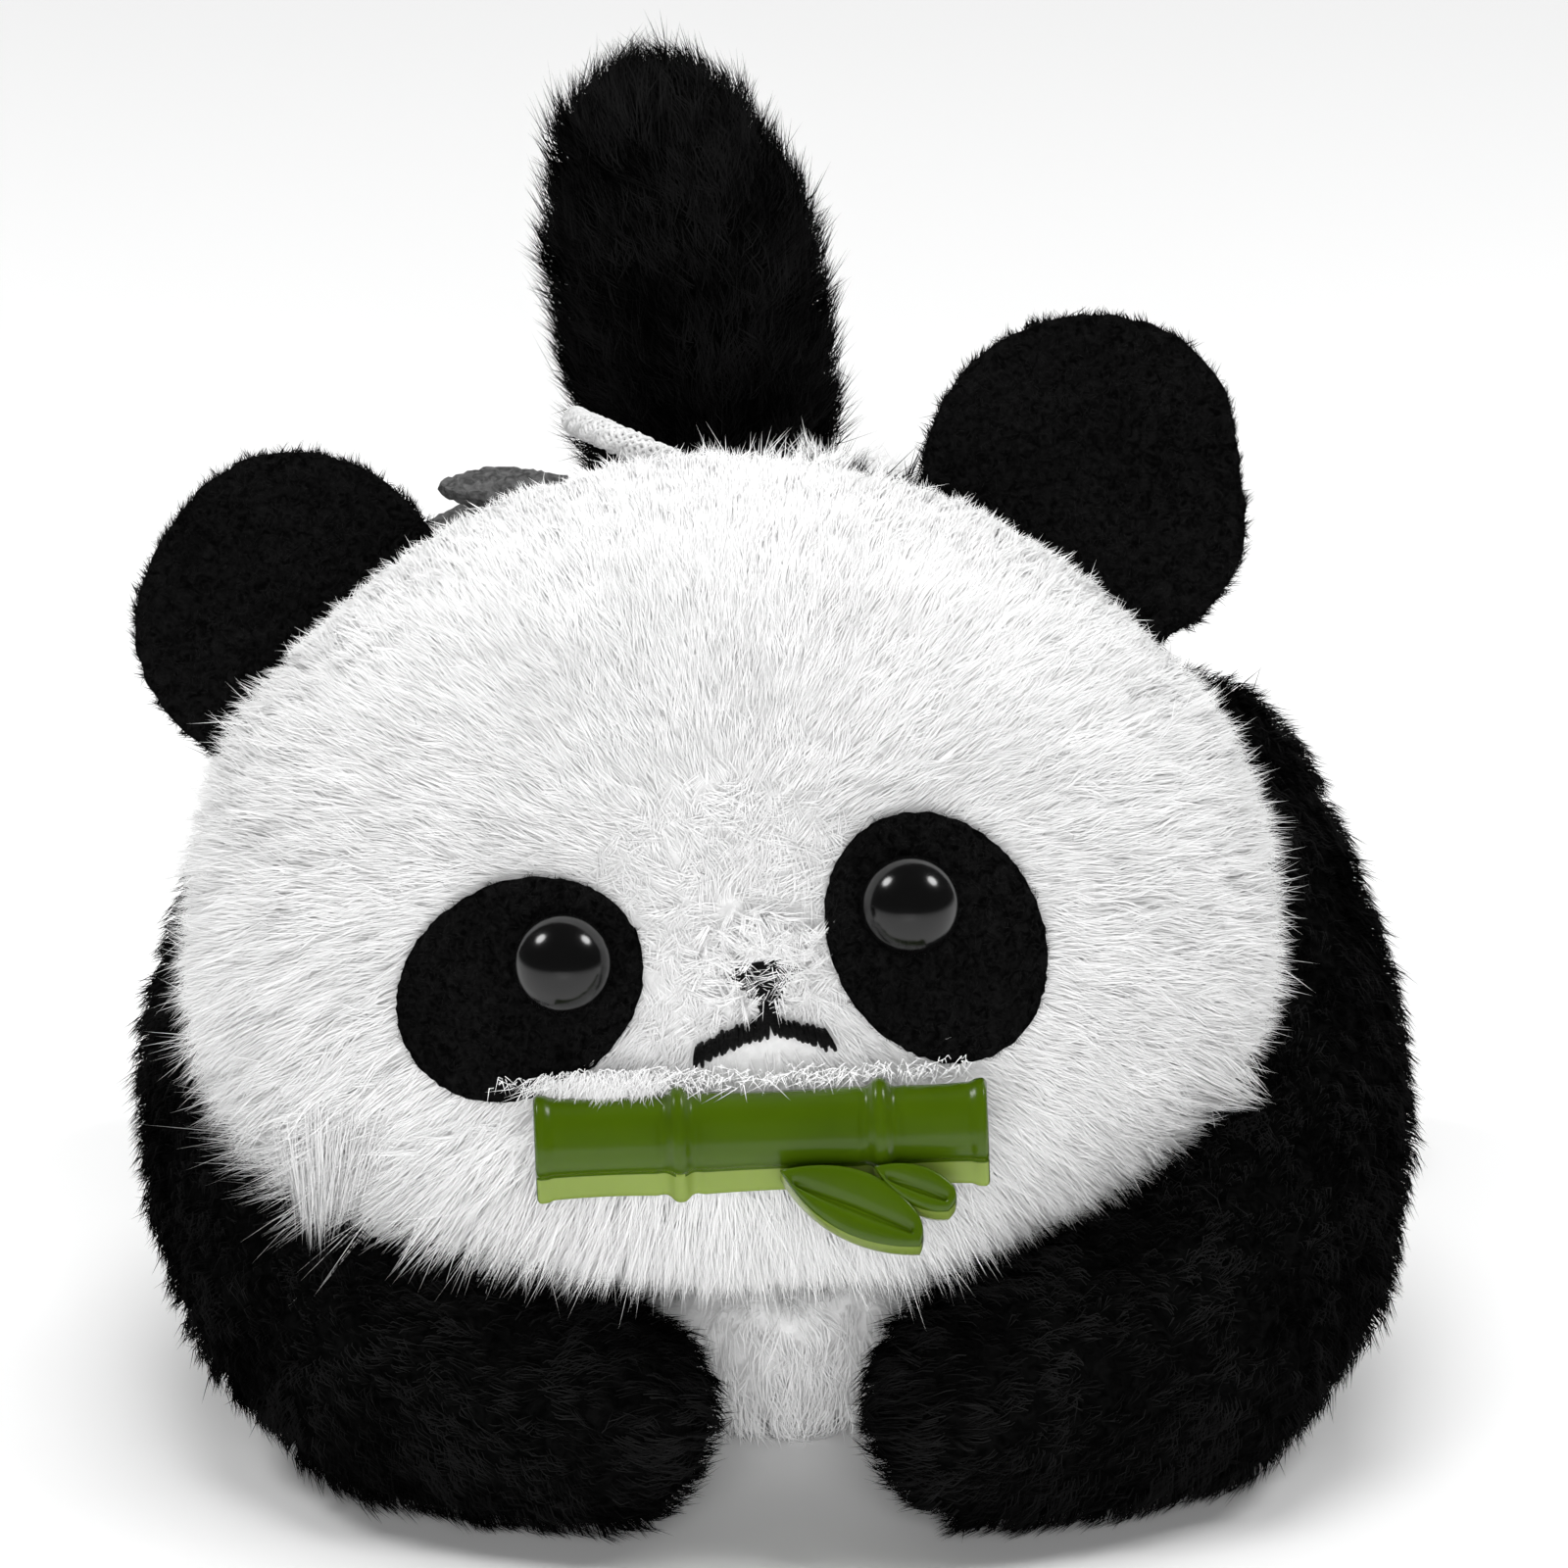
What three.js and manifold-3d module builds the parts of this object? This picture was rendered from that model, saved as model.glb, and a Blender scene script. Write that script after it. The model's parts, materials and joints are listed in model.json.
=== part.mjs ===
// A small stuffed panda pendant that lies on its belly with its arms wrapped forward on the ground.
// Millimetres, +Z up, the face looks towards -Y. "left" and "right" are as seen from the front,
// so left is -X. The origin is the middle of the underside of the whole toy.
import * as THREE from 'three';
import { mergeVertices } from 'three/addons/utils/BufferGeometryUtils.js';
import Module from 'manifold-3d';

const wasm = await Module();
wasm.setup();

// ---------- Driving dimensions ----------
const GAP = 0.3; // between two pieces that lie against each other
const CLOTH = 1.0; // plush fabric: its backing and the flattened foot of its pile
const FELT = 1.1; // thickness of the felt pieces
const MOVING_GAP = 0.6; // between a limb and the hollow that it moves in
const HEAD_GAP = 2.4; // between the head and what it rocks against

const TO_ORIGIN = new THREE.Vector3(1.0, 2.8, 0); // brings the middle of the underside to the origin

// The head is a ball, flattened from front to back, taller above its widest level than below it.
const HEAD = { halfWidth: 37, halfDepth: 25, up: 33, down: 23, squareness: 2.8 };
const HEAD_CENTRE = new THREE.Vector3(-3.7, -22, 38.2);
const HEAD_PITCH = THREE.MathUtils.degToRad(18); // the face looks up a little
const FACE_ROLL = THREE.MathUtils.degToRad(8.4); // the features sit askew, higher on the right
const HEAD_SEAM_Y = 4; // plane of the seam between the face and the back of the head
const CHIN_SEAM_Z = -18; // level of the cheek seams
const NECK = { radius: 9, x: 3, z: -3 };

const BODY = { centre: [0, 22.5, 28.5], halfSize: [31, 30, 30] };
const CHEST = { centre: [0, -9, 11.5], halfSize: [18, 20, 14.5] };
const CHEST_SEAM_Y = -5; // in front of it the belly fabric is white
const RUMP_SEAM_Y = 24; // behind it the back fabric is white

const EYE = { x: 12.2, z: 0.2, radius: 3.45, rise: 1.4, stemRadius: 1.2, stemLength: 7, baseRadius: 3.1 };
const WASHER = { outerRadius: 4.4, thickness: 1.2 };
const PATCHES = [
  { side: 'left', x: -15.6, z: -1.5, long: 9.0, short: 7.6, turn: 30 },
  { side: 'right', x: 14.3, z: -2.3, long: 9.2, short: 7.5, turn: 117 },
];

const BAMBOO = { length: 32.5, halfHeight: 4, wall: 2.2, dome: 2.4, z: -14.9, turn: 2, lift: 5 };
const BAMBOO_RINGS = { offsets: [-5.9, 8.6], width: 1.4, scale: 1.09 };
const LEAF_CHARM = { back: 3.2, thickness: 1.7 };

const EARS = [
  { side: 'left', x: -31.3, z: 23.4, radius: 11.3 },
  { side: 'right', x: 25.4, z: 32.5, radius: 12.0 },
];
const EAR = { depthY: 4, rootGap: 1.8, plush: 4.0, edge: 1.2 };

const ARMS = [
  {
    side: 'left',
    points: [[-29, 12, 35], [-35.2, -8, 22], [-28.4, -33, 11.3], [-13.3, -41.9, 8.9]],
    radii: [12, 12, 11.3, 8.8],
    form: { rings: 7 },
  },
  {
    side: 'right',
    points: [[28, 12, 35.5], [33.8, -6, 23.7], [29.6, -30, 12], [14.7, -40.9, 9.3]],
    radii: [11.6, 11.8, 12.0, 9.3],
    form: { rings: 7 },
  },
];

const LEG = { hip: [22, 30, 11.8], foot: [34, 40, 10.2], radii: [11, 10.5], form: { rings: 3 } };

const TAIL = {
  points: [[-4.5, 36, 53], [-6.2, 37.5, 63], [-7.6, 38.5, 71], [-9.2, 38.8, 78]],
  radii: [6.8, 8.4, 8.5, 6.6],
  form: { flat: 0.62, reference: [0, 1, 0], rings: 7 },
};

// Hollows in the body that leave the limbs and the tail room to move.
const HOLLOWS = [
  { centre: ARMS[0].points[0], halfSize: [13.2, 13.2, 13.2] },
  { centre: ARMS[1].points[0], halfSize: [13.2, 13.2, 13.2] },
  { centre: [-33, 0, 24], halfSize: [16.5, 19, 19] },
  { centre: [33, 0, 25], halfSize: [17, 20, 20] },
  { centre: [-24, 33, 11.8], halfSize: [15.5, 15.5, 12.5] },
  { centre: [24, 33, 11.8], halfSize: [15.5, 15.5, 12.5] },
  { centre: TAIL.points[0], halfSize: [8, 8.5, 6.5] },
];

const FELT_LEAVES = [
  { name: 'felt_leaf_front', root: [-11.5, 5.4, 33.6], tip: [-20.8, 6.2, 33.3], width: 3.6 },
  { name: 'felt_leaf_rear', root: [-11.5, 10.6, 32.6], tip: [-22.2, 11.2, 30.4], width: 3.8 },
];
const FELT_LEAF_SLOPE = THREE.MathUtils.degToRad(-33);

const LOOP_DIAMETER = 2.2;
const LOOP_ROUTE = [ // the hanging loop, from the crown seam round and back to it
  [-7.7, -8.9, 69.3], [-9.2, -8.6, 69.9], [-10.6, -7.9, 70.4], [-12.1, -6.6, 70.6],
  [-13.3, -4.7, 70.6], [-14.3, -2.5, 70.3], [-14.8, -0.1, 69.8], [-15.0, 2.2, 69.2],
  [-14.6, 4.3, 68.3], [-13.3, 5.8, 67.2], [-11.5, 6.0, 66.3], [-9.9, 4.9, 65.9],
  [-9.2, 3.1, 66.1], [-9.1, 1.0, 66.7], [-9.2, -1.1, 67.5], [-9.2, -3.1, 68.1],
  [-9.0, -4.9, 68.6], [-7.8, -6.0, 68.6],
];

// ---------- Materials ----------
const fabric = (colour) => new THREE.MeshStandardMaterial({ color: colour, roughness: 0.95, metalness: 0 });
const whitePlush = () => fabric(0xe6e6e6);
const blackPlush = () => fabric(0x0d0d0d);
const stuffing = () => fabric(0xf2f2ee);
const blackFelt = () => fabric(0x101010);
const greyFelt = () => fabric(0x5a5a5a);
const thread = () => fabric(0x080808);
const plastic = (colour) => new THREE.MeshStandardMaterial({ color: colour, roughness: 0.12, metalness: 0 });

// ---------- Solids ----------
const rad = THREE.MathUtils.degToRad;
const vector = (list) => new THREE.Vector3(...list);

function solidFrom(geometry) {
  const bare = geometry.clone();
  bare.deleteAttribute('normal');
  bare.deleteAttribute('uv');
  const merged = mergeVertices(bare, 1e-4);
  return new wasm.Manifold(new wasm.Mesh({
    numProp: 3,
    vertProperties: new Float32Array(merged.attributes.position.array),
    triVerts: new Uint32Array(merged.index.array),
  }));
}

function geometryFrom(solid) {
  const mesh = solid.getMesh();
  const geometry = new THREE.BufferGeometry();
  geometry.setAttribute('position', new THREE.BufferAttribute(mesh.vertProperties, 3));
  geometry.setIndex(new THREE.BufferAttribute(mesh.triVerts, 1));
  geometry.computeVertexNormals();
  return geometry;
}

function meshOf(name, solid, material) {
  const mesh = new THREE.Mesh(geometryFrom(solid), material);
  mesh.name = name;
  return mesh;
}

const joined = (solids) => solids.reduce((all, next) => all.add(next));

function block(low, high) {
  const size = vector(high).sub(vector(low));
  const centre = vector(low).add(vector(high)).multiplyScalar(0.5);
  const box = new THREE.BoxGeometry(size.x, size.y, size.z);
  return solidFrom(box.translate(centre.x, centre.y, centre.z));
}

const FAR = 200;
const cutBelow = (solid, level) => solid.subtract(block([-FAR, -FAR, -FAR], [FAR, FAR, level]));
const keepFront = (solid, y) => solid.subtract(block([-FAR, y, -FAR], [FAR, FAR, FAR]));
const keepBehind = (solid, y) => solid.subtract(block([-FAR, -FAR, -FAR], [FAR, y, FAR]));

// A closed tube with round ends along a smooth curve. flat squashes it along the direction that is
// square to the curve and nearest to the reference, and grow adds to every radius.
function softTube(points, radii, { grow = 0, flat = 1, reference = [0, 0, 1], rings = 9 } = {}) {
  const sides = 12;
  const capRings = 3;
  const curve = new THREE.CatmullRomCurve3(points.map(vector));
  const radiusCurve = new THREE.CatmullRomCurve3(radii.map((r) => new THREE.Vector3(r, 0, 0)));
  const stations = [];
  for (let i = 0; i <= rings; i++) {
    const t = i / rings;
    const radius = radiusCurve.getPoint(t).x + grow;
    stations.push({ at: curve.getPoint(t), along: curve.getTangent(t), radius });
  }
  const cap = (end, sign, depth) => {
    const list = [];
    for (let k = 1; k < capRings; k++) {
      const angle = (Math.PI / 2) * (k / capRings);
      const at = end.at.clone().addScaledVector(end.along, sign * depth * Math.sin(angle));
      list.push({ at, along: end.along, radius: end.radius * Math.cos(angle) });
    }
    return list;
  };
  const first = stations[0];
  const last = stations[rings];
  const rootDepth = first.radius * flat;
  const rows = [...cap(first, -1, rootDepth).reverse(), ...stations, ...cap(last, 1, last.radius)];
  const positions = [];
  for (const { at, along, radius } of rows) {
    const across = along.clone().cross(vector(reference)).normalize();
    const thin = across.clone().cross(along);
    const halfThin = (radius - grow) * flat + grow;
    for (let j = 0; j < sides; j++) {
      const angle = (2 * Math.PI * j) / sides;
      const p = at.clone().addScaledVector(across, radius * Math.cos(angle));
      p.addScaledVector(thin, halfThin * Math.sin(angle));
      positions.push(p.x, p.y, p.z);
    }
  }
  const startPole = positions.length / 3;
  const start = first.at.clone().addScaledVector(first.along, -rootDepth);
  const end = last.at.clone().addScaledVector(last.along, last.radius);
  positions.push(start.x, start.y, start.z, end.x, end.y, end.z);
  const index = [];
  for (let i = 0; i < rows.length - 1; i++) {
    for (let j = 0; j < sides; j++) {
      const a = i * sides + j;
      const b = i * sides + ((j + 1) % sides);
      index.push(a, a + sides, b, b, a + sides, b + sides);
    }
  }
  const lastRow = (rows.length - 1) * sides;
  for (let j = 0; j < sides; j++) {
    const next = (j + 1) % sides;
    index.push(startPole, j, next, startPole + 1, lastRow + next, lastRow + j);
  }
  const geometry = new THREE.BufferGeometry();
  geometry.setAttribute('position', new THREE.Float32BufferAttribute(positions, 3));
  geometry.setIndex(index);
  return geometry;
}

function ellipsoid({ centre, halfSize }, inset, sides) {
  const ball = new THREE.SphereGeometry(1, sides, Math.round(sides * 0.6)).rotateX(Math.PI / 2);
  const [a, b, c] = halfSize.map((s) => s - inset);
  return solidFrom(ball.scale(a, b, c).translate(...centre));
}

// ---------- The head's shape, in its own frame: centre at its widest level, face towards -Y ----------
function headMeasure(x, y, z) {
  const { halfWidth, halfDepth, up, down, squareness: m } = HEAD;
  const profile = Math.abs(z / (z > 0 ? up : down)) ** m + Math.abs(y / halfDepth) ** m;
  return (x / halfWidth) ** 2 + profile ** (2 / m);
}

function headBall(grow) {
  const ball = new THREE.SphereGeometry(1, 22, 14).rotateX(Math.PI / 2);
  const position = ball.attributes.position;
  for (let i = 0; i < position.count; i++) {
    const direction = new THREE.Vector3().fromBufferAttribute(position, i).normalize();
    const point = direction.clone().divideScalar(Math.sqrt(headMeasure(...direction.toArray())));
    const size = [HEAD.halfWidth, HEAD.halfDepth, point.z > 0 ? HEAD.up : HEAD.down];
    position.setXYZ(i, ...point.toArray().map((v, k) => v * (1 + grow / size[k])));
  }
  return ball;
}

const headShell = (from, to) => solidFrom(headBall(to)).subtract(solidFrom(headBall(from)));

// A place on the face, given along the rolled face axes.
function facePoint(x, z) {
  const px = x * Math.cos(FACE_ROLL) - z * Math.sin(FACE_ROLL);
  const pz = x * Math.sin(FACE_ROLL) + z * Math.cos(FACE_ROLL);
  const { halfWidth, halfDepth, up, down, squareness: m } = HEAD;
  const rim = (1 - (px / halfWidth) ** 2) ** (m / 2);
  const py = -halfDepth * (rim - Math.abs(pz / (pz > 0 ? up : down)) ** m) ** (1 / m);
  return new THREE.Vector3(px, py, pz);
}

function faceNormal(p) {
  const step = 0.01;
  const slope = (dx, dy, dz) => (
    headMeasure(p.x + dx, p.y + dy, p.z + dz) - headMeasure(p.x - dx, p.y - dy, p.z - dz));
  return new THREE.Vector3(slope(step, 0, 0), slope(0, step, 0), slope(0, 0, step)).normalize();
}

const headRoom = (grow) => solidFrom(headBall(grow).rotateX(-HEAD_PITCH).translate(...HEAD_CENTRE.toArray()));

// ---------- Head ----------
function eyeAxes() {
  return [-1, 1].map((side) => {
    const point = facePoint(side * EYE.x, EYE.z);
    return { point, normal: faceNormal(point) };
  });
}

// A cylinder along an eye's axis, from one height above the face to another.
function eyeBore({ point, normal }, radius, low, high) {
  const bore = new THREE.CylinderGeometry(radius, radius, high - low, 14).translate(0, (high + low) / 2, 0);
  bore.applyQuaternion(new THREE.Quaternion().setFromUnitVectors(new THREE.Vector3(0, 1, 0), normal));
  return solidFrom(bore.translate(point.x, point.y, point.z));
}

// What lies on one side of the cheek seams, as a block turned with the face.
function cheekSide(above) {
  const half = CHIN_SEAM_Z + (above ? GAP / 2 : -GAP / 2);
  const box = new THREE.BoxGeometry(FAR, FAR, FAR).translate(0, 0, half + (above ? FAR / 2 : -FAR / 2));
  return solidFrom(box.rotateY(-FACE_ROLL));
}

function headSkins() {
  const skin = headShell(-CLOTH, 0);
  const front = keepFront(skin, HEAD_SEAM_Y - GAP / 2);
  const holes = joined(eyeAxes().map((eye) => eyeBore(eye, EYE.stemRadius + GAP, -3, 3)));
  const neckHole = new THREE.CylinderGeometry(NECK.radius, NECK.radius, 30, 24).translate(NECK.x, 25, NECK.z);
  const back = keepBehind(skin, HEAD_SEAM_Y + GAP / 2).subtract(solidFrom(neckHole));
  return [
    meshOf('face_panel', front.intersect(cheekSide(true)).subtract(holes), whitePlush()),
    meshOf('chin_panel', front.intersect(cheekSide(false)), whitePlush()),
    meshOf('head_back_panel', back, whitePlush()),
  ];
}

function headStuffing() {
  const ball = solidFrom(headBall(-CLOTH - GAP));
  const washerDepth = CLOTH + WASHER.thickness + 4 * GAP;
  const pockets = eyeAxes().flatMap((eye) => [
    eyeBore(eye, WASHER.outerRadius + 2 * GAP, -washerDepth, 2),
    eyeBore(eye, EYE.stemRadius + GAP, -EYE.stemLength - 2 * GAP, 2),
  ]);
  return meshOf('head_stuffing', ball.subtract(joined(pockets)), stuffing());
}

// A shape drawn on the face plane, as a long prism through the face. The shape's own x and y are the
// face's x and z.
function facePrism(shape) {
  const prism = new THREE.ExtrudeGeometry(shape, { depth: 40, bevelEnabled: false, curveSegments: 10 });
  return solidFrom(prism.rotateX(Math.PI / 2));
}

function eyePatches() {
  const layer = headShell(GAP, GAP + FELT);
  return PATCHES.map(({ side, x, z, long, short, turn }, i) => {
    const centre = facePoint(x, z);
    const outline = new THREE.Shape();
    outline.absellipse(centre.x, centre.z, long, short, 0, 2 * Math.PI, false, rad(turn));
    const hole = eyeBore(eyeAxes()[i], EYE.stemRadius + GAP, -3, 4);
    return meshOf(`eye_patch_${side}`, layer.intersect(facePrism(outline)).subtract(hole), blackFelt());
  });
}

function beadEyes() {
  const base = FELT + 2 * GAP;
  const widest = base + EYE.rise; // height of the bead's widest level
  const profile = [new THREE.Vector2(0, -EYE.stemLength), new THREE.Vector2(EYE.stemRadius, -EYE.stemLength)];
  profile.push(new THREE.Vector2(EYE.stemRadius, base), new THREE.Vector2(EYE.baseRadius, base));
  const steps = 6;
  const startAngle = -0.35;
  for (let i = 0; i < steps; i++) {
    const angle = startAngle + ((Math.PI / 2 - startAngle) * i) / steps;
    profile.push(new THREE.Vector2(EYE.radius * Math.cos(angle), widest + EYE.radius * Math.sin(angle)));
  }
  profile.push(new THREE.Vector2(0, widest + EYE.radius));
  return eyeAxes().map(({ point, normal }, i) => {
    const bead = solidFrom(new THREE.LatheGeometry(profile, 16));
    const mesh = meshOf(i ? 'bead_eye_right' : 'bead_eye_left', bead, plastic(0x050505));
    mesh.position.copy(point);
    mesh.quaternion.setFromUnitVectors(new THREE.Vector3(0, 1, 0), normal);
    return mesh;
  });
}

function eyeWashers() {
  const bottom = -CLOTH - GAP - WASHER.thickness - GAP;
  const inner = EYE.stemRadius + GAP;
  const top = bottom + WASHER.thickness;
  const outer = WASHER.outerRadius;
  const ring = [[inner, bottom], [outer, bottom], [outer, top], [inner, top], [inner, bottom]];
  const profile = ring.map(([x, y]) => new THREE.Vector2(x, y));
  return eyeAxes().map(({ point, normal }, i) => {
    const washer = solidFrom(new THREE.LatheGeometry(profile, 16));
    const mesh = meshOf(i ? 'eye_washer_right' : 'eye_washer_left', washer, plastic(0x202020));
    mesh.position.copy(point);
    mesh.quaternion.setFromUnitVectors(new THREE.Vector3(0, 1, 0), normal);
    return mesh;
  });
}

function stitchedShape(points) {
  return new THREE.Shape(points.map(([x, z]) => {
    const p = facePoint(x, z);
    return new THREE.Vector2(p.x, p.z);
  }));
}

function noseAndMouth() {
  const layer = headShell(GAP, GAP + 0.8);
  const nose = [[-1.2, -1.9], [1.9, -1.5], [5.0, -1.9], [2.6, -4.4], [2.5, -5.7], [1.3, -5.7], [1.2, -4.4]];
  const mouth = [[1.4, -6.1], [3.4, -6.9], [6.2, -8.3], [5.9, -9.3], [3.0, -8.1], [1.4, -7.4], [-0.9, -8.2],
    [-4.1, -8.9], [-4.3, -7.9], [-1.3, -7.1]];
  return [
    meshOf('nose_stitching', layer.intersect(facePrism(stitchedShape(nose))), thread()),
    meshOf('mouth_stitching', layer.intersect(facePrism(stitchedShape(mouth))), thread()),
  ];
}

// ---------- Bamboo charm: a half-round stick with two rings and two leaves, moulded in one piece ----------
function stickPiece(length, centreX, scale) {
  const h = BAMBOO.halfHeight * scale;
  const wall = BAMBOO.wall * scale;
  const section = new THREE.Shape().moveTo(h, 0);
  section.lineTo(h, wall);
  section.absellipse(0, wall, h, BAMBOO.dome * scale, 0, Math.PI, false);
  section.lineTo(-h, 0);
  const bar = new THREE.ExtrudeGeometry(section, { depth: length, bevelEnabled: false, curveSegments: 7 });
  const toStick = new THREE.Matrix4().makeBasis(
    new THREE.Vector3(0, 0, 1), new THREE.Vector3(0, -1, 0), new THREE.Vector3(1, 0, 0));
  return solidFrom(bar.applyMatrix4(toStick).translate(centreX - length / 2, 0, 0));
}

function charmLeaves() {
  const big = new THREE.Shape().moveTo(0.6, -2.2);
  big.bezierCurveTo(3.2, -5.6, 6.0, -7.9, 11.2, -7.9);
  big.quadraticCurveTo(12.4, -6.9, 10.9, -4.8);
  big.quadraticCurveTo(9.5, -2.9, 7.0, -2.2);
  const small = new THREE.Shape().moveTo(8.6, -2.2);
  small.lineTo(10.2, -4.9);
  small.quadraticCurveTo(11.6, -6.1, 13.3, -5.9);
  small.quadraticCurveTo(14.3, -4.6, 13.0, -2.2);
  return [big, small].map((shape) => {
    const options = { depth: LEAF_CHARM.thickness, bevelEnabled: false, curveSegments: 7 };
    const plate = new THREE.ExtrudeGeometry(shape, options);
    return solidFrom(plate.rotateX(Math.PI / 2).translate(0, -LEAF_CHARM.back, 0));
  });
}

function bambooCharm() {
  const rings = BAMBOO_RINGS.offsets.map((x) => stickPiece(BAMBOO_RINGS.width, x, BAMBOO_RINGS.scale));
  const charm = joined([stickPiece(BAMBOO.length, 0, 1), ...rings, ...charmLeaves()]);
  const mesh = meshOf('bamboo_charm', charm, plastic(0x3c5a0a));
  const place = facePoint(0, BAMBOO.z);
  const back = facePoint(0, BAMBOO.z + BAMBOO.halfHeight).y - 3 * GAP;
  mesh.position.set(place.x, back, place.z);
  mesh.rotation.set(rad(-BAMBOO.lift), rad(-BAMBOO.turn), 0);
  return mesh;
}

// ---------- Ears: a felt front sewn to a padded plush back ----------
function earHinge({ x, z }) {
  const reach = Math.sqrt(headMeasure(x, 0, z));
  const foot = new THREE.Vector3(x / reach, 0, z / reach);
  const out = faceNormal(foot);
  return { foot: foot.setY(EAR.depthY), angle: Math.atan2(out.x, out.z) };
}

// A round cushion with soft edges, its flat faces square to Y.
function earCushion(centreX, centreZ, radius) {
  const { plush, edge } = EAR;
  const profile = new THREE.Path().moveTo(0, 0);
  profile.lineTo(radius - edge, 0);
  profile.absarc(radius - edge, edge, edge, -Math.PI / 2, 0, false);
  profile.lineTo(radius, plush - edge);
  profile.absarc(radius - edge, plush - edge, edge, 0, Math.PI / 2, false);
  profile.lineTo(0, plush);
  const cushion = new THREE.LatheGeometry(profile.getPoints(2), 26);
  return solidFrom(cushion.translate(centreX, 0, centreZ));
}

function ear(spec) {
  const { foot, angle } = earHinge(spec);
  const centre = new THREE.Vector3(spec.x, EAR.depthY, spec.z).sub(foot);
  centre.applyAxisAngle(new THREE.Vector3(0, 1, 0), -angle);
  const halfDepth = (FELT + GAP + EAR.plush) / 2;
  const disc = new THREE.CylinderGeometry(spec.radius, spec.radius, FELT, 26);
  const felt = solidFrom(disc.translate(centre.x, FELT / 2 - halfDepth, centre.z));
  const padding = earCushion(centre.x, centre.z, spec.radius).translate([0, halfDepth - EAR.plush, 0]);
  const group = new THREE.Group();
  group.position.copy(foot);
  group.rotation.y = angle;
  group.add(meshOf(`ear_felt_${spec.side}`, cutBelow(felt, EAR.rootGap), blackFelt()));
  group.add(meshOf(`ear_plush_${spec.side}`, cutBelow(padding, EAR.rootGap), blackPlush()));
  return group;
}

// ---------- Felt leaves and hanging loop at the crown ----------
function feltLeaf({ name, root, tip, width }) {
  const run = vector(tip).sub(vector(root));
  const length = run.length();
  const outline = new THREE.Shape().moveTo(0, 0);
  outline.quadraticCurveTo(length * 0.45, width, length, 0);
  outline.quadraticCurveTo(length * 0.45, -width, 0, 0);
  const leaf = new THREE.ExtrudeGeometry(outline, { depth: FELT, bevelEnabled: false, curveSegments: 8 });
  leaf.rotateX(FELT_LEAF_SLOPE).rotateY(Math.atan2(-run.z, run.x));
  const mesh = meshOf(name, solidFrom(leaf), greyFelt());
  mesh.position.set(...root);
  return mesh;
}

function hangLoop() {
  const section = new THREE.Shape().absarc(0, 0, LOOP_DIAMETER / 2, 0, 2 * Math.PI);
  const path = new THREE.CatmullRomCurve3(LOOP_ROUTE.map(vector));
  const options = { steps: 24, curveSegments: 4, bevelEnabled: false, extrudePath: path };
  const cord = new THREE.ExtrudeGeometry(section, options);
  return meshOf('hang_loop', solidFrom(cord), fabric(0xe8e8e8));
}

// ---------- Limbs and tail ----------
// Each is a stuffed sleeve: a skin with the hole it is filled through at its root, and its stuffing.
function limbSolid(limb, inset) {
  const tube = softTube(limb.points, limb.radii, { ...limb.form, grow: -inset });
  return cutBelow(solidFrom(tube), inset).subtract(headRoom(HEAD_GAP + inset));
}

function limbGroup(limb, names) {
  const hinge = vector(limb.points[0]);
  const outward = vector(limb.points[1]).sub(hinge).normalize();
  const hole = new THREE.CylinderGeometry(limb.radii[0] * 0.4, limb.radii[0] * 0.4, 2 * limb.radii[0], 16);
  hole.translate(0, -limb.radii[0], 0);
  hole.applyQuaternion(new THREE.Quaternion().setFromUnitVectors(new THREE.Vector3(0, 1, 0), outward));
  hole.translate(...hinge.toArray());
  const skin = limbSolid(limb, 0).subtract(limbSolid(limb, CLOTH)).subtract(solidFrom(hole));
  const group = new THREE.Group();
  group.position.copy(hinge);
  group.add(meshOf(names[0], skin, blackPlush()));
  group.add(meshOf(names[1], limbSolid(limb, CLOTH + GAP), stuffing()));
  group.children.forEach((mesh) => mesh.geometry.translate(-hinge.x, -hinge.y, -hinge.z));
  return group;
}

const onSide = (sign, [x, y, z]) => [sign * x, y, z];
const LEGS = [['left', -1], ['right', 1]].map(([side, sign]) => (
  { ...LEG, side, points: [onSide(sign, LEG.hip), onSide(sign, LEG.foot)] }));

// ---------- Body ----------
function bodySolid(inset) {
  const bulk = ellipsoid(BODY, inset, 22).add(ellipsoid(CHEST, inset, 16));
  const hollows = HOLLOWS.map((hollow) => ellipsoid(hollow, -(MOVING_GAP + inset), 12));
  return cutBelow(bulk, inset).subtract(joined([headRoom(HEAD_GAP + inset), ...hollows]));
}

function bodyGroup() {
  const skin = bodySolid(0).subtract(bodySolid(CLOTH));
  const middle = keepBehind(keepFront(skin, RUMP_SEAM_Y - GAP / 2), CHEST_SEAM_Y + GAP / 2);
  const group = new THREE.Group();
  group.add(meshOf('chest_panel', keepFront(skin, CHEST_SEAM_Y - GAP / 2), whitePlush()));
  group.add(meshOf('shoulder_panel', middle, blackPlush()));
  group.add(meshOf('rump_panel', keepBehind(skin, RUMP_SEAM_Y + GAP / 2), whitePlush()));
  group.add(meshOf('body_stuffing', bodySolid(CLOTH + GAP), stuffing()));
  return group;
}

// ---------- The toy ----------
function headGroup() {
  const head = new THREE.Group();
  head.position.copy(HEAD_CENTRE);
  head.rotation.x = -HEAD_PITCH;
  head.add(...headSkins(), headStuffing(), ...eyePatches(), ...beadEyes(), ...eyeWashers());
  head.add(...noseAndMouth(), bambooCharm(), ...EARS.map(ear), ...FELT_LEAVES.map(feltLeaf));
  return head;
}

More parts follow.
